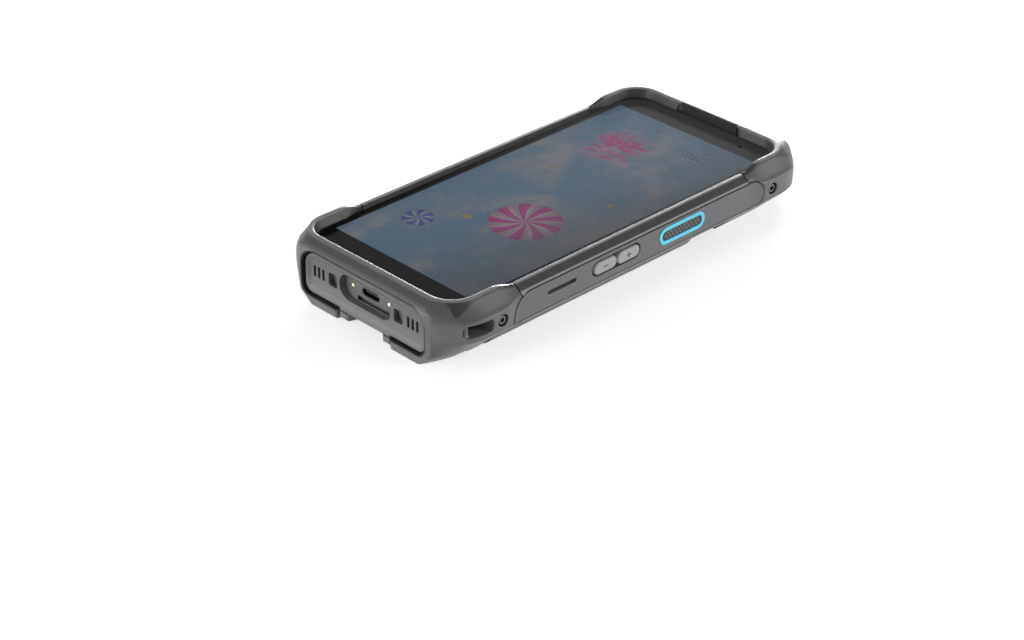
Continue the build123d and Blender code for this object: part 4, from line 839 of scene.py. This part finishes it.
MARK = Moulded("key_marks", (0.035, 0.035, 0.036), roughness=0.5, depth_mm=0.01)
PALE_MARK = Moulded("latch_mark", (0.55, 0.55, 0.55), roughness=0.5, depth_mm=0.01)
RING = Gloss("ring_cyan", (0.12, 0.68, 0.92), roughness=0.3, coat=0.2)
LATCH = Gloss("latch_plastic", (0.022, 0.022, 0.024), roughness=0.28, coat=0.3)
PLATE = Gloss("camera_plate_gloss", (0.005, 0.005, 0.006), roughness=0.12, coat=0.0, level=0.2)
DARK = Moulded("dark_plastic", (0.02, 0.02, 0.021), roughness=0.5, depth_mm=0.01)
STEEL = Metal("brushed_steel", (0.56, 0.56, 0.58))
DARK_STEEL = Metal("dark_steel", (0.13, 0.13, 0.135), roughness=0.4)
SHELL_STEEL = Metal("usb_shell_steel", (0.10, 0.10, 0.105), roughness=0.45)
GOLD = Metal("gold_plate", (0.86, 0.78, 0.50), roughness=0.38)
SILVER = Metal("silver_plate", (0.85, 0.85, 0.86), roughness=0.25)
FOIL = Metal("cell_foil", (0.6, 0.62, 0.65), roughness=0.35)
BOARD = Gloss("circuit_board", (0.015, 0.07, 0.04), roughness=0.35, coat=0.2)
INNER_LENS = Gloss("inner_lens", (0.03, 0.03, 0.06), roughness=0.05)
FLASH = Gloss("flash_diffuser", (0.45, 0.43, 0.36), roughness=0.2)
CAMERA_LENS = LensGlass("camera_lens_glass", centre_mm=(21.7, 69.1), radius_mm=3.4)
SECOND_LENS = LensGlass("second_lens_glass", centre_mm=(22.2, 57.4), radius_mm=2.3)
PANE = ClearWindow("scan_window_pane", (0.30, 0.05, 0.05))
SCREEN = ScreenGlass("screen_glass")


# --------------------------------------------------------------------------------------------
# Pieces
# --------------------------------------------------------------------------------------------


def body_of(node: str) -> str:
    """Name of the body that a node belongs to."""
    bodies = frame["record"]["behaviour"]["bodies"]
    return next(body for body, members in bodies.items() if node in members)


def paint(piece: Piece, material: Material) -> None:
    """Gives a piece one material all over."""
    piece.data.materials.clear()
    piece.data.materials.append(material)
    for face in piece.data.polygons:
        face.material_index = 0


def keep_piece(mesh: bpy.types.Mesh, name: str, body: str, material: Material) -> Piece:
    """Links a finished mesh as a piece that rides on a body.

    Args:
        mesh: The mesh, with its place in its vertices.
        name: The piece's name.
        body: The body it rides on.
        material: Its material.

    Returns:
        The piece.
    """
    piece = bpy.data.objects.new(name, mesh)
    bpy.context.scene.collection.objects.link(piece)
    paint(piece, material)
    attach(piece, body)
    log.info("%s rides on %s", name, body)
    return piece


def shade_smooth(bm: bmesh.types.BMesh, crease_deg: float) -> None:
    """Shades a mesh smoothly, apart from its edges that turn by more than an angle."""
    for face in bm.faces:
        face.smooth = True
    for edge in bm.edges:
        edge.smooth = len(edge.link_faces) == 2 and edge.calc_face_angle(0.0) < math.radians(crease_deg)


def smooth_skin(node: str, material: Material, crease_deg: float = 32.0) -> Piece:
    """Replaces a node by a merged copy of itself that is shaded smoothly between its creases.

    Args:
        node: The node to stand for.
        material: The copy's material.
        crease_deg: Edges that turn by more than this stay sharp.

    Returns:
        The piece.
    """
    bm = bmesh.new()
    bm.from_mesh(frame["nodes"][node].data)
    bmesh.ops.remove_doubles(bm, verts=bm.verts, dist=MERGE_DISTANCE)
    bmesh.ops.dissolve_degenerate(bm, edges=bm.edges, dist=MERGE_DISTANCE)
    shade_smooth(bm, crease_deg)
    mesh = bpy.data.meshes.new(f"{node}_skin")
    bm.to_mesh(mesh)
    bm.free()
    normals = mesh.attributes.get("custom_normal")
    if normals:
        mesh.attributes.remove(normals)
    piece = keep_piece(mesh, mesh.name, body_of(node), material)
    weighted = piece.modifiers.new("even_shading", "WEIGHTED_NORMAL")
    weighted.keep_sharp = True
    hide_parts(node)
    return piece


@dataclass(frozen=True)
class CornerZone:
    """The outside of a bumper's four corners, clear of the holes of the side screws."""

    from_x_mm: float = 32.4
    from_y_mm: float = 59.0
    low_mm: float = 1.5
    high_mm: float = 24.6
    outward_mm: float = 10.0
    screw_x_mm: float = 41.5
    screw_y_mm: float = 86.0
    screw_low_mm: float = 9.5
    screw_high_mm: float = 19.5

    def holds(self, vert: bmesh.types.BMVert, inset_mm: float) -> bool:
        """Whether a vertex lies in the zone.

        Args:
            vert: The vertex.
            inset_mm: How far inside the zone's limits it has to be.

        Returns:
            True if it does.
        """
        x, y, z = abs(vert.co.x) / MM, abs(vert.co.y) / MM, vert.co.z / MM
        if not (self.low_mm + 0.5 * inset_mm < z < self.high_mm - 0.5 * inset_mm
                and x > self.from_x_mm + inset_mm and y > self.from_y_mm + 1.5 * inset_mm):
            return False
        outward = vert.normal.x * vert.co.x / MM + vert.normal.y * vert.co.y / MM
        near_screw = (x > self.screw_x_mm and y < self.screw_y_mm + 0.5 * inset_mm
                      and self.screw_low_mm - inset_mm < z < self.screw_high_mm + inset_mm)
        return outward > self.outward_mm + 4.0 * inset_mm and not near_screw


@dataclass(frozen=True)
class Softener:
    """Gives a rubber moulding an evenly meshed skin with softened edges and rounder corners."""

    zone: CornerZone = CornerZone()
    depth: int = 8
    scale: float = 0.9
    rounds: int = 3
    corner_steps: int = 4
    rounds_per_step: int = 25

    def skin(self, node: str, material: Material) -> Piece:
        """Replaces a node by its softened copy.

        Args:
            node: The node to stand for.
            material: The copy's material.

        Returns:
            The piece.
        """
        mesh = self._even_mesh(node)
        bm = bmesh.new()
        bm.from_mesh(mesh)
        self._relax(bm, list(bm.verts), self.rounds)
        for step in range(self.corner_steps):
            corner = [vert for vert in bm.verts if self.zone.holds(vert, step)]
            self._relax(bm, corner, self.rounds_per_step)
        self._relax(bm, list(bm.verts), 1)
        for face in bm.faces:
            face.smooth = True
        bm.to_mesh(mesh)
        bm.free()
        mesh.name = f"{node}_skin"
        piece = keep_piece(mesh, mesh.name, body_of(node), material)
        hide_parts(node)
        log.info("%s has %d faces", piece.name, len(mesh.polygons))
        return piece

    def _even_mesh(self, node: str) -> bpy.types.Mesh:
        """A copy of the node's mesh, remeshed into even small faces."""
        bm = bmesh.new()
        bm.from_mesh(frame["nodes"][node].data)
        bmesh.ops.remove_doubles(bm, verts=bm.verts, dist=MERGE_DISTANCE)
        rough = bpy.data.meshes.new(f"{node}_rough")
        bm.to_mesh(rough)
        bm.free()
        holder = bpy.data.objects.new(f"{node}_rough", rough)
        bpy.context.scene.collection.objects.link(holder)
        even = holder.modifiers.new("even_mesh", "REMESH")
        even.mode = "SHARP"
        even.octree_depth = self.depth
        even.scale = self.scale
        even.sharpness = 1.0
        even.use_remove_disconnected = False
        bpy.context.view_layer.update()
        evaluated = holder.evaluated_get(bpy.context.evaluated_depsgraph_get())
        mesh = bpy.data.meshes.new_from_object(evaluated)
        bpy.data.objects.remove(holder)
        return mesh

    @staticmethod
    def _relax(bm: bmesh.types.BMesh, verts: list[bmesh.types.BMVert], rounds: int) -> None:
        """Relaxes some of a mesh's vertices a number of times."""
        for _ in range(rounds):
            bmesh.ops.smooth_vert(bm, verts=verts, factor=0.5, use_axis_x=True, use_axis_y=True,
                                  use_axis_z=True)


class Maker:
    """A bmesh being built, with the few small forms that the pieces are made of."""

    SOFT_SHARE = 0.15
    AIMS = {"+X": (1, 0, 0), "-X": (-1, 0, 0), "+Y": (0, 1, 0), "-Z": (0, 0, -1)}

    def __init__(self) -> None:
        """Starts empty."""
        self.bm = bmesh.new()

    def block(self, centre: Vector, size: Vector) -> None:
        """Adds a block with softened edges."""
        place = Matrix.Translation(centre) @ Matrix.Diagonal((*size, 1.0))
        made = bmesh.ops.create_cube(self.bm, size=1.0, matrix=place)
        edges = list({edge for vert in made["verts"] for edge in vert.link_edges})
        bmesh.ops.bevel(self.bm, geom=edges, offset=self.SOFT_SHARE * min(size), affect="EDGES",
                        segments=1, profile=0.5, material=-1)

    def stud(self, centre: Vector, axis: str, radius: float, tip_radius: float, depth: float,
             sides: int, turn_deg: float = 0.0, stretch: float = 1.0) -> None:
        """Adds a tapered stud.

        Args:
            centre: Middle of the stud.
            axis: "+X", "-X", "+Y" or "-Z", the way its tip points.
            radius: Foot radius.
            tip_radius: Radius of its flat tip.
            depth: Height along its axis.
            sides: How many sides it has.
            turn_deg: Turn about its own axis.
            stretch: Scale along Y before it is placed.
        """
        aim = Vector((0, 0, 1)).rotation_difference(Vector(self.AIMS[axis])).to_matrix().to_4x4()
        turn = Matrix.Rotation(math.radians(turn_deg), 4, "Z")
        place = Matrix.Translation(centre) @ Matrix.Diagonal((1.0, stretch, 1.0, 1.0)) @ aim @ turn
        bmesh.ops.create_cone(self.bm, cap_ends=True, segments=sides, radius1=radius, radius2=tip_radius,
                              depth=depth, matrix=place)

    def dome(self, centre: Vector, radius: float, height: float, axis: int) -> None:
        """Adds a low dome, round across the axis with the given number."""
        size = [radius, radius, radius]
        size[axis] = height
        place = Matrix.Translation(centre) @ Matrix.Diagonal((*size, 1.0))
        bmesh.ops.create_uvsphere(self.bm, u_segments=24, v_segments=12, radius=1.0, matrix=place)

    def arc(self, centre: Vector, radius: float, width: float, axis: Vector, gap_deg: float) -> None:
        """Adds a flat open ring round an axis, with its gap upwards."""
        start = Matrix.Rotation(math.radians(gap_deg / 2), 4, axis)
        corners = []
        for reach, lift in ((-0.5, -0.5), (0.5, -0.5), (0.5, 0.5), (-0.5, 0.5)):
            point = Vector((0, 0, radius + reach * width)) + axis * (lift * 0.3 * width)
            corners.append(self.bm.verts.new(centre + start @ point))
        face = self.bm.faces.new(corners)
        bmesh.ops.spin(self.bm, geom=[face, *face.edges, *corners], cent=centre, axis=axis,
                       angle=math.radians(360 - gap_deg), steps=28, use_merge=False)
        bmesh.ops.recalc_face_normals(self.bm, faces=self.bm.faces)

    def finish(self, name: str, body: str, material: Material,
               crease_deg: float = 35.0) -> Piece:
        """Makes the piece.

        Args:
            name: The piece's name.
            body: The body it rides on.
            material: Its material.
            crease_deg: Edges that turn by more than this stay sharp.

        Returns:
            The piece.
        """
        shade_smooth(self.bm, crease_deg)
        mesh = bpy.data.meshes.new(name)
        self.bm.to_mesh(mesh)
        self.bm.free()
        return keep_piece(mesh, name, body, material)


def paint_nodes(material: Material, *nodes: str) -> None:
    """Gives several nodes one material, with their shapes as they are."""
    for node in nodes:
        paint(frame["nodes"][node], material)


def skin_nodes(material: Material, *nodes: str, crease_deg: float = 32.0) -> None:
    """Replaces several nodes by smooth skins of one material."""
    for node in nodes:
        smooth_skin(node, material, crease_deg)


@dataclass
class Casing:
    """The bumpers, the rails, the end panels and the housing."""

    softener: Softener = Softener()
    shell_crease_deg: float = 25.0

    def dress(self) -> None:
        """Gives each shell its skin and finish."""
        rubber = RUBBER.material()
        for node in ("top_bumper", "bottom_bumper"):
            self.softener.skin(node, rubber)
        skin_nodes(RAIL.material(), "mid_frame", crease_deg=self.shell_crease_deg)
        paint_nodes(HOUSING.material(), "rear_housing")
        skin_nodes(PANEL.material(), "top_end_panel", "bottom_end_panel",
                   crease_deg=self.shell_crease_deg)
        skin_nodes(GRIP.material(), "right_grip_insert", "left_grip_insert")


@dataclass
class Screen:
    """The cover glass and what lies under it."""

    glass: ScreenGlass = SCREEN
    def dress(self) -> None:
        """Gives the glass its picture and the hidden pieces their finishes."""
        paint_nodes(self.glass.material(), "front_glass")
        paint_nodes(DARK.material(), "front_camera", "proximity_sensor", "earpiece_receiver",
                    "earpiece_mesh", "display_panel")


@dataclass
class Keys:
    """The side triggers, the volume keys and the power key."""

    knurl_rows: int = 3
    knurl_columns: int = 11
    knurl_radius: float = 0.86 * MM
    knurl_height: float = 0.24 * MM
    mark_length: float = 2.3 * MM
    mark_width: float = 0.42 * MM
    mark_height: float = 0.06 * MM
    power_radius: float = 1.5 * MM
    power_gap_deg: float = 80.0

    def dress(self) -> None:
        """Gives the keys and rings their finishes and marks."""
        ring, knurl = RING.material(), KNURL.material()
        for side in ("right", "left"):
            smooth_skin(f"{side}_trigger_ring", ring)
            smooth_skin(f"{side}_scan_trigger", knurl)
        skin_nodes(KEY.material(), "volume_up_key", "volume_down_key", "power_key")
        paint_nodes(DARK.material(), "side_switches", "power_switch")
        tips = KNURL_TIP.material()
        self._knurl("right", 1, tips)
        self._knurl("left", -1, tips)
        mark = MARK.material()
        self._volume_mark("volume_up", mark, upright=True)
        self._volume_mark("volume_down", mark, upright=False)
        self._power_mark(mark)

    def _knurl(self, side: str, sign: int, material: Material) -> None:
        """Covers a trigger's face with staggered lozenges."""
        low, high = (Vector(corner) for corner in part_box(f"{side}_scan_trigger"))
        face_x, axis = (high.x, "+X") if sign > 0 else (low.x, "-X")
        half_height = (high.z - low.z) / 2
        step_y = (high.y - low.y - 2 * self.knurl_radius) / self.knurl_columns
        step_z = 2 * half_height / (self.knurl_rows + 0.4)
        maker = Maker()
        for row in range(self.knurl_rows):
            z = (low.z + high.z) / 2 + (row - (self.knurl_rows - 1) / 2) * step_z
            for column in range(self.knurl_columns + 1):
                y = low.y + self.knurl_radius + (column + 0.5 * (row % 2)) * step_y
                edge = min(y - low.y, high.y - y)
                if edge < half_height and abs(z - (low.z + high.z) / 2) > edge * 0.8:
                    continue
                foot = Vector((face_x + sign * 0.3 * self.knurl_height, y, z))
                maker.stud(foot, axis, self.knurl_radius, 0.55 * self.knurl_radius, self.knurl_height,
                           sides=4, stretch=0.8)
        body = body_of(f"{side}_scan_trigger")
        maker.finish(f"{side}_trigger_knurl", body, material, crease_deg=10.0)

    def _volume_mark(self, key: str, material: Material, upright: bool) -> None:
        """Adds a key's minus or, with its upright stroke, its plus."""
        low, high = (Vector(corner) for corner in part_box(f"{key}_key"))
        centre = Vector((high.x, (low.y + high.y) / 2, (low.z + high.z) / 2))
        maker = Maker()
        maker.block(centre, Vector((self.mark_height, self.mark_length, self.mark_width)))
        if upright:
            maker.block(centre, Vector((self.mark_height, self.mark_width, self.mark_length)))
        maker.finish(f"{key}_mark", body_of(f"{key}_key"), material)

    def _power_mark(self, material: Material) -> None:
        """Adds the open ring and stroke of the power key."""
        low, high = (Vector(corner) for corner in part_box("power_key"))
        centre = Vector(((low.x + high.x) / 2, high.y, (low.z + high.z) / 2))
        maker = Maker()
        maker.arc(centre, self.power_radius, self.mark_width, Vector((0, 1, 0)), self.power_gap_deg)
        stroke = centre + Vector((0, 0, 0.75 * self.power_radius))
        maker.block(stroke, Vector((self.mark_width, 0.3 * self.mark_width, 1.1 * self.power_radius)))
        maker.finish("power_mark", body_of("power_key"), material)


@dataclass
class Ends:
    """The scan window, the connectors, the screws and the works inside."""

    pin_radius: float = 0.85 * MM
    pin_length: float = 1.2 * MM

    def dress(self) -> None:
        """Gives the pieces of both ends and the inner works their finishes."""
        paint_nodes(PANE.material(), "scan_window")
        skin_nodes(SHELL_STEEL.material(), "usb_shell")
        self._charge_pins()
        skin_nodes(DARK_STEEL.material(), "side_screws", "rear_screws")
        paint_nodes(DARK.material(), "usb_tongue", "loudspeaker", "scan_engine", "camera_module",
                    "contact_block", "battery_contacts")
        paint_nodes(FOIL.material(), "engine_bracket", "vibration_motor", "microphone", "shield_cans",
                    "battery_cells", "card_holder")
        paint_nodes(BOARD.material(), "main_board", "end_board")
        skin_nodes(INNER_LENS.material(), "scan_lens", "aimer_lens")

    def _charge_pins(self) -> None:
        """Replaces the charging pins by round pins with domed tips."""
        low, high = (Vector(corner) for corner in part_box("charge_pins"))
        dome_height = 0.45 * self.pin_radius
        z = (low.z + high.z) / 2
        maker = Maker()
        for x in (low.x + self.pin_radius, high.x - self.pin_radius):
            tip = Vector((x, low.y + dome_height, z))
            maker.dome(tip, self.pin_radius, dome_height, axis=1)
            stem_radius = 0.98 * self.pin_radius
            maker.stud(tip + Vector((0, self.pin_length / 2, 0)), "+Y", stem_radius, stem_radius,
                       self.pin_length, sides=24)
        piece = maker.finish("charge_pin_tips", body_of("charge_pins"),
                             GOLD.material())
        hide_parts("charge_pins")


@dataclass
class Back:
    """The battery pack, its latch and the camera plate."""

    contact_columns: int = 4
    contact_rows: int = 2
    contact_radius: float = 0.95 * MM
    arrow_radius: float = 1.5 * MM
    arrow_inset: float = 4.6 * MM
    arrow_proud: float = 0.02 * MM
    arrow_height: float = 0.08 * MM
    quilt_crease_deg: float = 3.0

    def dress(self) -> None:
        """Gives the back's pieces their finishes."""
        pack = PACK.material()
        skin_nodes(pack, "battery_cover", crease_deg=self.quilt_crease_deg)
        paint_nodes(pack, "battery_base")
        paint_nodes(GOLD.material(), "battery_pads")
        skin_nodes(LATCH.material(), "battery_latch")
        skin_nodes(PLATE.material(), "camera_plate")
        skin_nodes(CAMERA_LENS.material(), "camera_lens")
        skin_nodes(SECOND_LENS.material(), "auxiliary_lenses")
        skin_nodes(STEEL.material(), "flash_ring")
        skin_nodes(FLASH.material(), "flash_lens")
        self._contacts()
        self._latch_arrow()

    def _contacts(self) -> None:
        """Replaces the rear contacts by round pads with a soft rim."""
        low, high = (Vector(corner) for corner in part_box("rear_contacts"))
        step_x = (high.x - low.x - 2 * self.contact_radius) / (self.contact_columns - 1)
        step_y = (high.y - low.y - 2 * self.contact_radius) / (self.contact_rows - 1)
        maker = Maker()
        for column in range(self.contact_columns):
            for row in range(self.contact_rows):
                centre = Vector((low.x + self.contact_radius + column * step_x,
                                 low.y + self.contact_radius + row * step_y, (low.z + high.z) / 2))
                maker.stud(centre, "-Z", self.contact_radius, 0.9 * self.contact_radius, high.z - low.z,
                           sides=28)
        piece = maker.finish("rear_contact_pads", body_of("rear_contacts"),
                             SILVER.material())
        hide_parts("rear_contacts")

    def _latch_arrow(self) -> None:
        """Adds the small arrow that shows which way the latch slides."""
        low, high = (Vector(corner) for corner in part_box("battery_latch"))
        centre = Vector((0.5 * (low.x + high.x), high.y - self.arrow_inset, low.z - self.arrow_proud))
        maker = Maker()
        maker.stud(centre, "-Z", self.arrow_radius, self.arrow_radius, self.arrow_height, sides=3,
                   turn_deg=90.0, stretch=0.8)
        maker.finish("latch_arrow", body_of("battery_latch"), PALE_MARK.material())


# --------------------------------------------------------------------------------------------
# Studio
# --------------------------------------------------------------------------------------------


@dataclass(frozen=True)
class Softbox:
    """A square area lamp that looks at the terminal."""

    name: str
    place: Point
    size: float
    power: float

    def hang(self, target: Vector) -> None:
        """Adds the lamp, turned to the target."""
        lamp = bpy.data.lights.new(self.name, "AREA")
        lamp.shape = "SQUARE"
        lamp.size = self.size
        lamp.energy = self.power
        piece = bpy.data.objects.new(self.name, lamp)
        bpy.context.scene.collection.objects.link(piece)
        piece.location = self.place
        piece.rotation_euler = (target - Vector(self.place)).to_track_quat("-Z", "Y").to_euler()


@dataclass(frozen=True)
class Studio:
    """Pale floor, soft lamps and the camera."""

    camera_mm: Point = (515.03, -527.86, 406.03)
    aim_mm: Point = (52.64, -72.12, 20.5)
    roll_deg: float = 0.53
    lens: float = 82.09
    sensor: float = 36.0
    floor_half: float = 6.0
    horizon_level: float = 0.85
    zenith_level: float = 0.10
    dimming_span: Span = (0.25, 0.66)
    floor_glow: float = 0.62
    softboxes: tuple[Softbox, ...] = (
        Softbox("top_softbox", (-0.2, 0.2, 1.3), 0.9, 2.0),
        Softbox("front_softbox", (-0.45, -1.2, 0.2), 0.8, 11.0),
        Softbox("right_softbox", (1.0, 0.75, 0.16), 0.8, 12.0),
        Softbox("rim_softbox", (-0.75, 1.05, 0.12), 0.5, 20.0),
    )

    def set_up(self) -> None:
        """Builds the whole studio."""
        self._camera()
        self._world()
        self._floor()
        for softbox in self.softboxes:
            softbox.hang(Vector((0, 0, 0.01)))
        bpy.context.scene.view_settings.view_transform = "Standard"

    def _camera(self) -> None:
        """Adds the camera and makes it the scene's."""
        data = bpy.data.cameras.new("camera")
        data.lens = self.lens
        data.sensor_fit = "HORIZONTAL"
        data.sensor_width = self.sensor
        data.clip_start = 0.01
        camera = bpy.data.objects.new("camera", data)
        bpy.context.scene.collection.objects.link(camera)
        place = Vector(self.camera_mm) * MM
        look = (Vector(self.aim_mm) * MM - place).to_track_quat("-Z", "Y").to_matrix()
        roll = Matrix.Rotation(math.radians(self.roll_deg), 3, "Z")
        camera.matrix_world = Matrix.Translation(place) @ (look @ roll).to_4x4()
        bpy.context.scene.camera = camera

    def _world(self) -> None:
        """White for the camera; as a light, bright round the horizon and dim overhead."""
        world = bpy.data.worlds.new("studio")
        world.use_nodes = True
        bpy.context.scene.world = world
        sheet = Sheet(world.node_tree)
        background = world.node_tree.nodes["Background"]
        background.inputs["Color"].default_value = (1, 1, 1, 1)
        _, _, lift = sheet.split(sheet.node("TexCoord").outputs["Generated"])
        level = sheet.span(lift, *self.dimming_span, self.horizon_level, self.zenith_level)
        path = sheet.node("LightPath")
        seen = sheet.math("MAXIMUM", path.outputs["Is Camera Ray"], path.outputs["Is Transmission Ray"])
        sheet.feed(background.inputs["Strength"], sheet.math("MAXIMUM", level, seen))

    def _floor(self) -> None:
        """A pale plane that keeps the terminal's shadow and is open from below."""
        bm = bmesh.new()
        bmesh.ops.create_grid(bm, x_segments=1, y_segments=1, size=self.floor_half)
        mesh = bpy.data.meshes.new("floor")
        bm.to_mesh(mesh)
        bm.free()
        floor = bpy.data.objects.new("floor", mesh)
        bpy.context.scene.collection.objects.link(floor)
        sheet = Surface("pale_floor")
        sheet.set("Base Color", (0.8, 0.8, 0.8, 1))
        sheet.set("Roughness", 0.95)
        sheet.set("Specular IOR Level", 0.0)
        path = sheet.node("LightPath")
        seen = sheet.math("MAXIMUM", path.outputs["Is Camera Ray"], path.outputs["Is Glossy Ray"])
        sheet.set("Emission Color", (1, 1, 1, 1))
        sheet.set("Emission Strength", sheet.times(seen, self.floor_glow))
        clear = sheet.node("BsdfTransparent")
        sides = sheet.node("MixShader")
        sheet.feed(sides.inputs[0], sheet.node("NewGeometry").outputs["Backfacing"])
        sheet.feed(sides.inputs[1], sheet.shader.outputs[0])
        sheet.feed(sides.inputs[2], clear.outputs[0])
        sheet.feed(sheet.tree.nodes["Material Output"].inputs["Surface"], sides.outputs[0])
        floor.data.materials.append(sheet.material)


def main() -> None:
    """Builds the studio and dresses each sub-assembly in order."""
    logging.basicConfig(level=logging.INFO, format="%(name)s: %(message)s")
    Studio().set_up()
    for part in (Casing(), Screen(), Keys(), Ends(), Back()):
        part.dress()


if __name__ == "__main__":
    main()
